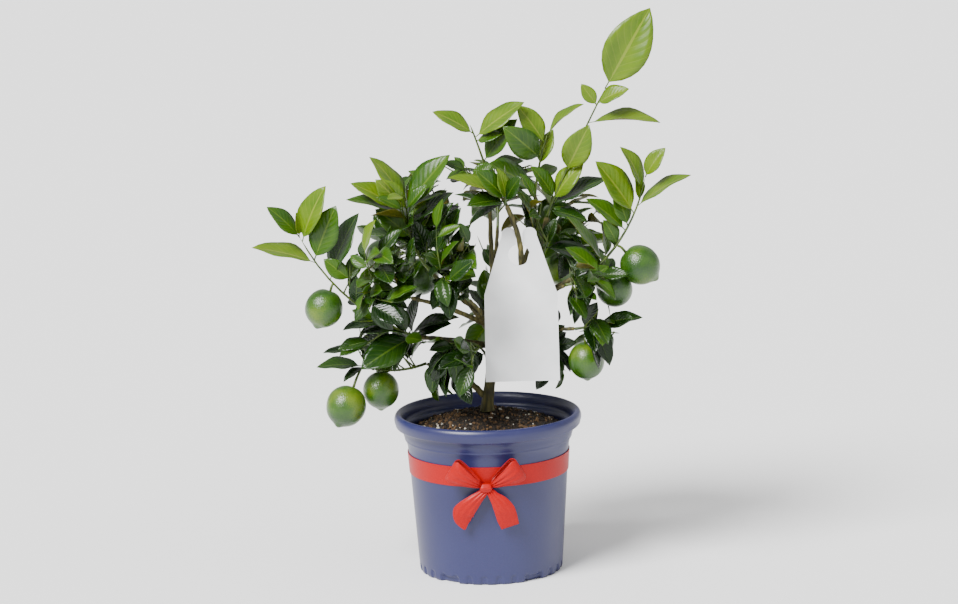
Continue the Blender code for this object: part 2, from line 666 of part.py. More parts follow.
def make_pot(parts, helpers):
    """The pot: rolled rim, ledge inside it, flared neck, straight body, floor with holes, notched foot."""
    rim = POT_RIM_RADIUS
    inside = [(0, POT_FLOOR), (bore_radius(POT_FLOOR), POT_FLOOR), (bore_radius(0.106), 0.106)]
    inside += [(0.0703, 0.1215), (0.0712, 0.1295), (0.0738, 0.1302), (0.0745, 0.1370), (0.0762, 0.1400)]
    middle = (rim - 0.0036, POT_HEIGHT - 0.0055)
    roll = [
        (middle[0] + 0.0036 * math.cos(a), middle[1] + 0.0055 * math.sin(a))
        for a in (math.radians(d) for d in (115, 85, 55, 25, -5, -40))
    ]
    under = [(rim - 0.0012, 0.1310), (rim - 0.0028, 0.1298), (0.0762, 0.1292), (0.0750, 0.1250)]
    neck = [(0.0732, 0.1200), (0.0724, 0.1188), (0.0712, 0.1140), (POT_NECK_RADIUS, POT_NECK_HEIGHT)]
    foot = [(POT_BASE_RADIUS, 0.0050), (POT_BASE_RADIUS - 0.0004, 0.0015), (POT_BASE_RADIUS - 0.0018, 0)]
    pot = turned_profile("pot", inside + roll + under + neck + foot + [(0, 0)], parts,
                         material("pot_plastic", (0.045, 0.050, 0.130), 0.38))
    for i in range(NOTCH_COUNT):
        angle = math.radians(-54 + 360 * i / NOTCH_COUNT)
        cut(pot, helpers, f"foot_notch_{i + 1}", NOTCH_RADIUS, 0.0060,
            (POT_BASE_RADIUS * math.cos(angle), POT_BASE_RADIUS * math.sin(angle), -0.0040), (math.pi / 2, 0, angle + math.pi / 2))
    for i in range(DRAIN_HOLES):
        angle = math.radians(45 + 360 * i / DRAIN_HOLES)
        cut(pot, helpers, f"drain_hole_{i + 1}", DRAIN_RADIUS, 0.040,
            (0.040 * math.cos(angle), 0.040 * math.sin(angle), 0), (0, 0, 0))
    return pot


def cut(obj, helpers, name, radius, depth, location, rotation):
    """Cuts a round hole, whose cutter stays as a hidden helper."""
    bm = bmesh.new()
    bmesh.ops.create_cone(bm, cap_ends=True, segments=16, radius1=radius, radius2=radius, depth=depth)
    mesh = bpy.data.meshes.new(name)
    bm.to_mesh(mesh)
    bm.free()
    cutter = add_object(name, mesh, helpers)
    cutter.location = location
    cutter.rotation_euler = rotation
    cutter.hide_render = True
    cutter.display_type = "WIRE"
    boolean = obj.modifiers.new(name, "BOOLEAN")
    boolean.operation = "DIFFERENCE"
    boolean.object = cutter


def make_soil(parts):
    """The soil: it fills the pot, mounds up to the trunk and is level where the trunk stands."""
    rng = random.Random(5)
    count = POT_SIDES
    rows = ((SOIL_FLAT, SOIL_TOP, 0), (0.022, 0.1396, 1), (0.036, 0.1362, 1), (0.050, 0.1318, 1),
            (0.061, 0.1282, 1), (bore_radius(0.106) - GAP - 0.0006, SOIL_EDGE - 0.002, 0))
    floor = POT_FLOOR + GAP
    below = ((bore_radius(0.106) - GAP, 0.106), (bore_radius(POT_FLOOR) - GAP, floor))
    points = [(0, 0, SOIL_TOP)]
    for radius, height, rough in rows + tuple((r, h, 0) for r, h in below):
        for i in range(count):
            a = 2 * math.pi * i / count
            z = height + rough * SOIL_ROUGHNESS * rng.uniform(-1, 1)
            points.append((radius * math.cos(a), radius * math.sin(a), z))
    points.append((0, 0, floor))
    rings = len(rows) + len(below)
    faces = [(0, 1 + i, 1 + (i + 1) % count) for i in range(count)]
    for ring in range(rings - 1):
        for i in range(count):
            a, b = 1 + ring * count + i, 1 + ring * count + (i + 1) % count
            faces.append((a, a + count, b + count, b))
    last = len(points) - 1
    faces += [(last, 1 + (rings - 1) * count + (i + 1) % count, 1 + (rings - 1) * count + i) for i in range(count)]
    soil = add_object("soil", outward(mesh_from("soil", points, faces)), parts,
                      material("potting_soil", (0.045, 0.026, 0.014), 0.95))
    return soil


def make_limb(name, path, radii, parts, surface):
    """A tapering limb: a curve with six sides, its caps welded, as a mesh."""
    curve = bpy.data.curves.new(name, "CURVE")
    curve.dimensions = "3D"
    curve.bevel_depth = 1.0
    curve.bevel_resolution = 1
    curve.use_fill_caps = True
    spline = curve.splines.new("POLY")
    spline.points.add(len(path) - 1)
    for point, at, radius in zip(spline.points, path, radii):
        point.co = (*at, 1)
        point.radius = radius
    helper = add_object(name + "_route", curve, parts)
    bpy.context.view_layer.update()
    graph = bpy.context.evaluated_depsgraph_get()
    mesh = bpy.data.meshes.new_from_object(helper.evaluated_get(graph))
    bpy.data.objects.remove(helper, do_unlink=True)
    bm = bmesh.new()
    bm.from_mesh(mesh)
    bmesh.ops.remove_doubles(bm, verts=bm.verts, dist=0.00001)
    bmesh.ops.recalc_face_normals(bm, faces=bm.faces)
    bm.to_mesh(mesh)
    bm.free()
    obj = add_object(name, mesh, parts, surface)
    obj.data.shade_smooth()
    return obj


def make_limbs(crown, parts):
    """The trunk, with its flare at the soil, and the boughs."""
    path = trunk_path()
    shares = np.linspace(0, 1, len(path))
    radii = TRUNK["foot"] + (TRUNK["tip"] - TRUNK["foot"]) * shares + TRUNK["flare"] * np.exp(-shares * 9)
    make_limb("trunk", path, radii, parts, material("trunk_bark", (0.12, 0.10, 0.035), 0.85))
    bark = material("bough_bark", (0.10, 0.12, 0.03), 0.75)
    for name in BOUGHS:
        path, foot, tip = crown.limbs[name]
        make_limb(name, path, np.linspace(foot, tip, len(path)), parts, bark)


def twig_mesh(name, path, foot, tip):
    """A three-sided tapering twig with a pointed tip."""
    reference = np.array([0.3, 0.2, 0.93])
    points = []
    for i, at in enumerate(path[:-1]):
        along = unit(path[min(i + 1, len(path) - 1)] - path[max(i - 1, 0)])
        side = unit(np.cross(along, reference))
        over = np.cross(along, side)
        radius = foot + (tip - foot) * i / (len(path) - 1)
        for k in range(3):
            a = math.radians(120 * k)
            points.append(at + (side * math.cos(a) + over * math.sin(a)) * radius)
    points.append(path[-1] + unit(path[-1] - path[-2]) * tip)
    rings = len(path) - 1
    faces = [(0, 2, 1)]
    for ring in range(rings - 1):
        for k in range(3):
            a, b = ring * 3 + k, ring * 3 + (k + 1) % 3
            faces += [(a, b, b + 3), (a, b + 3, a + 3)]
    last = (rings - 1) * 3
    faces += [(last + k, last + (k + 1) % 3, len(points) - 1) for k in range(3)]
    return outward(mesh_from(name, points, faces))


def leaf_mesh(name, leaf, fine):
    """A blade with a root point sunk in the twig, one or two four-sided sections and a tip."""
    mid, across, normal = midrib(leaf, LEAF_SHARES)
    _, left, right = leaf_outline(leaf)
    if not fine:
        mid, left, right, normal = ((p[:1], (p[1:2] + p[2:3]) / 2, p[3:]) for p in (mid, left, right, normal))
        mid, left, right, normal = (np.concatenate(p) for p in (mid, left, right, normal))
    thick = max(LEAF_THICK, leaf[3] / 60)
    points = [mid[0] - leaf[1] * 0.0008]
    sections = len(mid) - 2
    for i in range(1, sections + 1):
        points += [left[i], mid[i] + normal[i] * thick / 2, right[i], mid[i] - normal[i] * thick / 2]
    points.append(mid[-1])
    last = 4 * (sections - 1)
    faces = []
    for k in range(4):
        a, b = 1 + k, 1 + (k + 1) % 4
        faces += [(0, a, b), (a + last, len(points) - 1, b + last)]
        if fine:
            faces += [(a, a + 4, b + 4), (a, b + 4, b)]
    return outward(mesh_from(name, points, faces))


def fruit_mesh(name, hang, middle, radius):
    """A round fruit, a little longer than wide, with a small nipple at its lower end."""
    bm = bmesh.new()
    bmesh.ops.create_uvsphere(bm, u_segments=8, v_segments=5, radius=radius)
    turn = Vector((0, 0, -1)).rotation_difference(Vector(hang))
    for vertex in bm.verts:
        if vertex.co.z < -radius * 0.999:
            vertex.co.z *= 1.13
        vertex.co.z *= 1.05
        vertex.co.rotate(turn)
        vertex.co += Vector(middle)
    mesh = bpy.data.meshes.new(name)
    bm.to_mesh(mesh)
    bm.free()
    return mesh


def largest_shell(mesh):
    """Keeps the outermost shell: inner shells are sealed hollows and the others are loose scraps."""
    bm = bmesh.new()
    bm.from_mesh(mesh)
    left = set(bm.faces)
    shells = []
    while left:
        shell, edge = set(), [left.pop()]
        while edge:
            face = edge.pop()
            shell.add(face)
            for loop in face.loops:
                for other in loop.edge.link_faces:
                    if other in left:
                        left.remove(other)
                        edge.append(other)
        shells.append(shell)
    def volume(shell):
        return sum(f.verts[0].co.dot(f.verts[1].co.cross(f.verts[2].co)) for f in shell) / 6
    keep = max(shells, key=volume)
    bmesh.ops.delete(bm, geom=[f for f in bm.faces if f not in keep], context="FACES")
    bmesh.ops.dissolve_limit(bm, angle_limit=math.radians(FLAT_ANGLE), verts=bm.verts, edges=bm.edges)
    bmesh.ops.triangulate(bm, faces=bm.faces)
    bm.to_mesh(mesh)
    bm.free()
    return len(shells)


def make_mass(mass, parts, surface):
    """One mass: its stem, with twigs, leaves and fruit joined to it by one Boolean union."""
    pieces = new_collection(mass.name + "_pieces")
    base = add_object(mass.name, twig_mesh(mass.name, mass.axes[0], *STEM_RADII), parts)
    for i, path in enumerate(mass.axes[1:]):
        name = f"{mass.name}_twig_{i}"
        add_object(name, twig_mesh(name, path, *TWIG_RADII), pieces)
    for i, leaf in enumerate(mass.leaves):
        name = f"{mass.name}_leaf_{i}"
        add_object(name, leaf_mesh(name, leaf, i < mass.named), pieces)
    for i, (stalk, hang, middle, radius) in enumerate(mass.fruit):
        name = f"{mass.name}_fruit_{i}"
        add_object(name, outward(fruit_mesh(name, hang, middle, radius)), pieces)
        route = np.array([stalk, (stalk + middle) / 2, middle])
        add_object(name + "_stalk", twig_mesh(name, route, *TWIG_RADII), pieces)
    union = base.modifiers.new("Join", "BOOLEAN")
    union.operation = "UNION"
    union.operand_type = "COLLECTION"
    union.collection = pieces
    union.solver = "MANIFOLD"
    bpy.context.view_layer.update()
    graph = bpy.context.evaluated_depsgraph_get()
    joined = bpy.data.meshes.new_from_object(base.evaluated_get(graph))
    base.modifiers.clear()
    base.data = joined
    for obj in list(pieces.objects):
        bpy.data.objects.remove(obj, do_unlink=True)
    bpy.data.collections.remove(pieces)
    shells = largest_shell(joined)
    joined.materials.clear()
    joined.materials.append(surface)
    print(mass.name, "leaves", len(mass.leaves), "shells", shells, "faces", len(joined.polygons))
    return base


def tag_outline():
    """The card's outline from its lower left corner: two round lobes, and a slit between them to a hole."""
    right = TAG_LEFT + TAG_WIDTH
    hole_x, hole_z = TAG_HOLE
    points = [(TAG_LEFT, TAG_BOTTOM), (right, TAG_BOTTOM), (right - 0.0005, TAG_SHOULDER)]
    lobe = TAG_LOBE_RADIUS
    for side, first, last in ((1, -10, 170), (-1, 10, 190)):
        x = TAG_SLIT + side * (TAG_SLIT_WIDTH / 2 + lobe)
        if side < 0:
            points += [
                (hole_x + TAG_HOLE_RADIUS * math.cos(a), hole_z + TAG_HOLE_RADIUS * math.sin(a))
                for a in (math.radians(69 - 324 * k / 18) for k in range(19))
            ]
        for step in range(7):
            a = math.radians(first + (last - first) * step / 6)
            points.append((x + lobe * math.cos(a), TAG_TOP - lobe + lobe * math.sin(a)))
    points.append((TAG_LEFT + 0.0005, TAG_SHOULDER))
    return points


def make_tag(parts):
    """A bare card that hangs on the middle bough: a flat outline, extruded."""
    curve = bpy.data.curves.new("tag", "CURVE")
    curve.dimensions = "2D"
    curve.fill_mode = "BOTH"
    curve.extrude = TAG_THICK / 2
    spline = curve.splines.new("POLY")
    outline = tag_outline()
    spline.points.add(len(outline) - 1)
    for point, (x, z) in zip(spline.points, outline):
        point.co = (x, z, 0, 1)
    spline.use_cyclic_u = True
    tag = add_object("tag", curve, parts, material("white_card", (0.82, 0.83, 0.84), 0.5))
    tag.rotation_euler = (math.pi / 2, 0, 0)
    tag.location = (0, TAG_FRONT + TAG_THICK / 2, 0)
    return tag


def make_band(parts, surface):
    """The ribbon round the pot, as a ring that widens with it."""
    top = BAND_BOTTOM + BAND_WIDTH
    inner = [(pot_radius(z) + GAP, z) for z in (BAND_BOTTOM, top)]
    outer = [(r + RIBBON_THICK, z) for r, z in reversed(inner)]
    profile = [inner[0], inner[1], outer[0], outer[1], inner[0]]
    return turned_profile("ribbon_band", profile, parts, surface)


def ribbon_strip(name, middle_line, across, parts, surface):
    """A strip of ribbon along a line of points with a half-width vector at each, thickened by Solidify."""
    points, faces = [], []
    for at, half in zip(middle_line, across):
        points += [at - half, at, at + half]
    for i in range(len(middle_line) - 1):
        for k in range(2):
            a = i * 3 + k
            faces.append((a, a + 1, a + 4, a + 3))
    obj = add_object(name, mesh_from(name, points, faces), parts, surface)
    solid = obj.modifiers.new("Thickness", "SOLIDIFY")
    solid.thickness = RIBBON_THICK
    solid.offset = 0
    obj.data.shade_smooth()
    return obj


def bow_loop(name, side, parts, surface):
    """A loop of the bow: out of the knot, round its far end and back, opening a little downwards."""
    out = np.array([side * 0.86, 0, 0.50])
    wide = unit(np.array([-side * 0.50, -0.25, 0.86]))
    front = unit(np.cross(wide, out)) * (1 if side < 0 else -1)
    front = front if front[1] < 0 else -front
    reach, puff = 0.0300, 0.0052
    middle, across = [], []
    start = np.array(KNOT_CENTRE) + out * 0.0066 + front * 0.0005
    for i in range(13):
        t = i / 12
        angle = math.pi * t
        middle.append(start + out * reach * math.sin(angle) ** 0.75 + front * puff * math.cos(angle) * math.sin(angle) ** 0.4
                      + front * 0.0012 * math.cos(angle))
        across.append(wide * (0.0022 + 0.0085 * math.sin(angle) ** 0.6))
    return ribbon_strip(name, middle, across, parts, surface)


def bow_tail(name, side, route, parts, surface):
    """A tail of the bow, hanging down in front of the pot from under the knot."""
    points = np.array([(x, y, z) for x, y, z, _ in route]) * MM
    middle, across = [], []
    for i in range(9):
        k = i / 8 * (len(points) - 1)
        j = min(int(k), len(points) - 2)
        at = points[j] + (points[j + 1] - points[j]) * (k - j)
        width = route[j][3] + (route[j + 1][3] - route[j][3]) * (k - j)
        along = points[min(j + 1, len(points) - 1)] - points[j]
        level = unit(np.array([along[2], 0, -along[0]]))
        middle.append(at)
        across.append(level * width * MM / 2)
    return ribbon_strip(name, middle, across, parts, surface)


def make_ribbon(parts):
    """The band, the knot, two loops and two tails."""
    satin = material("red_satin", (0.62, 0.004, 0.004), 0.35)
    make_band(parts, satin)
    mesh = bpy.data.meshes.new("bow_knot")
    bm = bmesh.new()
    bmesh.ops.create_cube(bm, size=1.0)
    for vertex in bm.verts:
        vertex.co = Vector(a * b for a, b in zip(vertex.co, KNOT_SIZE))
    bm.to_mesh(mesh)
    bm.free()
    knot = add_object("bow_knot", mesh, parts, satin)
    knot.location = KNOT_CENTRE
    bevel = knot.modifiers.new("Round", "BEVEL")
    bevel.width = 0.0016
    bevel.segments = 2
    bow_loop("bow_left_loop", -1, parts, satin)
    bow_loop("bow_right_loop", 1, parts, satin)
    left = ((-7.5, -75.5, 84.5, 5), (-15, -76.5, 78, 12), (-23, -74.5, 70, 19), (-24, -72.5, 62, 15), (-22.5, -71.5, 53, 3))
    right = ((1.5, -75.8, 84.5, 5), (7, -76.5, 79, 13), (12, -76, 71, 18), (14.5, -74.5, 63, 18), (17, -72.5, 55, 16))
    bow_tail("bow_left_tail", -1, left, parts, satin)
    bow_tail("bow_right_tail", 1, right, parts, satin)


def main():
    clear_scene()
    parts = new_collection("potted_citrus_tree")
    helpers = new_collection("cutters", helper=True)
    crown = Crown()
    make_pot(parts, helpers)
    make_soil(parts)
    make_limbs(crown, parts)
    foliage = material("foliage", (0.09, 0.20, 0.02), 0.45)
    for mass in crown.masses.values():
        make_mass(mass, parts, foliage)
    make_tag(parts)
    make_ribbon(parts)
    print("leaves", sum(len(m.leaves) for m in crown.masses.values()), "named leaves skipped", crown.skipped)


main()
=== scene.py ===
import math
import random
import bmesh
import bpy
import numpy as np
from mathutils import Matrix, Vector


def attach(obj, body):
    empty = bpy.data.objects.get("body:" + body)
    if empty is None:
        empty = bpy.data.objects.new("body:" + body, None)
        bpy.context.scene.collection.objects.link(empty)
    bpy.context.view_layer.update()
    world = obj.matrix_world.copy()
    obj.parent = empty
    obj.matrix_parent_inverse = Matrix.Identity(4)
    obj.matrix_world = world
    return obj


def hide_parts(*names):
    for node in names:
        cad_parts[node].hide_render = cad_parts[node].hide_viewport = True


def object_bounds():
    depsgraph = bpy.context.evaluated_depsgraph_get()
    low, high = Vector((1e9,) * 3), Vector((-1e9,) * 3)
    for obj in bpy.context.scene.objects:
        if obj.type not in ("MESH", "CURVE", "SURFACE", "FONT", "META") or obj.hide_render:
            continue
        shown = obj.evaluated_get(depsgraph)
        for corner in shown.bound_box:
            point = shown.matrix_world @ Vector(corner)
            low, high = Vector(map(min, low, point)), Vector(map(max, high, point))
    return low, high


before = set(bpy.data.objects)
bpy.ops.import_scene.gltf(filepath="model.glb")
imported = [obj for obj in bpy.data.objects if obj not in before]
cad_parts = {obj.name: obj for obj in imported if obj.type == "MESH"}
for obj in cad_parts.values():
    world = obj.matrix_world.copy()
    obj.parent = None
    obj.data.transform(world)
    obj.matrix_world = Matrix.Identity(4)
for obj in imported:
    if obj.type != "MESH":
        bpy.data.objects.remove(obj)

cadBox = [list(map(float, corner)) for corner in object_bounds()]
print("frame loaded")

# The crown's rule: sizes in metres, and in millimetres in the rows of leaves, twigs and fruit
millimetre = 0.001
gap = 0.0003
soilTop = 0.1412
tagKeepOut = ((-0.006, -0.300, 0.160), (0.070, -0.020, 0.314))
crownCentre = (0.000, 0.004, 0.258)
crownHalf = (0.122, 0.120, 0.104)
lowestLeaf = 0.152
leafShares = (0.0, 0.38, 0.72, 1.0)
leafWidths = (0.0, 0.97, 0.74, 0.0)
leafMargin = 0.0007
fitSpace = {  # space to limbs, space to fruit and lowest point; and the margins inside a mass's own space
    "named": (0.0018, 0.0018, 0.149),
    "twig": (0.002, 0.002, lowestLeaf + 0.006),
    "leaf": (0.0015, 0.001, lowestLeaf),
    "twigOwn": 0.0015, "leafOwn": 0.0018, "twigsWithin": 0.07, "bladesWithin": 0.075,
}
growRule = {  # ranges in degrees, or in shares of a length
    "tries": 16, "along": (0.15, 0.85), "forward": (0.4, 1.0), "upward": 0.25, "twigLength": (0.75, 1.1),
    "twigBow": 14, "twigSway": 25, "firstLeaf": 0.22, "spiral": 137.5, "leafLength": (0.75, 1.15),
    "arch": (8, 45), "fold": (8, 24), "ratio": (0.46, 0.54), "spread": (38, 62), "tipFrom": 0.95,
    "tipSpread": 0.4, "retry": 53, "jitter": 10, "shrinkAt": 9, "shrink": 0.75, "light": (-0.25, -0.60, 0.75),
}
namedRule = {"arch": (10, 36), "ratio": (0.48, 0.54), "fold": (6, 20), "nudges": (8, 16, 26)}

# The trunk and the boughs: parent, place along it, turn, lift, length, bow, sway, radius at foot and at tip.
trunkSizes = dict(turn=4, lift=85, length=0.078, bow=-14, sway=18, foot=0.0050, tip=0.0042, flare=0.0020)
boughSizes = dict(
    bough_low_left=("trunk", 0.15, 164, 46, 0.056, -33, 34, 0.0028, 0.0015),
    bough_left_long=("trunk", 0.69, -149, 17, 0.072, -10, -22, 0.0028, 0.0019),
    bough_left_middle=("trunk", 0.88, -148, 32, 0.093, -15, -5, 0.0025, 0.0016),
    bough_left_upper=("trunk", 0.97, -174, 32, 0.079, 15, 26, 0.0026, 0.0016),
    bough_left_inner=("trunk", 0.78, -108, 56, 0.057, -18, -32, 0.0022, 0.0015),
    bough_centre=("trunk", 0.98, -9, 69, 0.121, -4, -150, 0.0026, 0.0022),
    bough_left_top=("bough_centre", 0.93, 163, 69, 0.035, -53, -15, 0.0014, 0.0010),
    bough_top_left=("trunk", 0.96, 100, 66, 0.125, 34, 0, 0.0027, 0.0016),
    bough_right_main=("trunk", 1.0, 18, 53, 0.101, 25, -50, 0.0034, 0.0025),
    bough_right_inner=("bough_right_main", 0.20, -24, 63, 0.043, -10, -6, 0.0020, 0.0015),
    bough_top_middle=("bough_right_main", 0.14, 69, 54, 0.102, 35, -143, 0.0020, 0.0015),
    bough_right_reach=("bough_right_main", 0.08, -16, 34, 0.091, -8, 1, 0.0026, 0.0019),
    bough_right_middle=("trunk", 0.81, -19, 57, 0.077, -32, 0, 0.0022, 0.0015),
    bough_right_low=("trunk", 0.64, -17, 38, 0.074, -36, -5, 0.0023, 0.0016),
    bough_back_left=("trunk", 0.80, 130, 34, 0.070, 6, -8, 0.0026, 0.0017),
    bough_back_right=("trunk", 0.88, 55, 34, 0.070, 6, 8, 0.0026, 0.0017),
    bough_back_top=("bough_top_left", 0.35, 80, 45, 0.045, 20, 0, 0.0020, 0.0015),
    bough_back_low=("trunk", 0.45, 85, 22, 0.058, 4, 0, 0.0024, 0.0016),
)

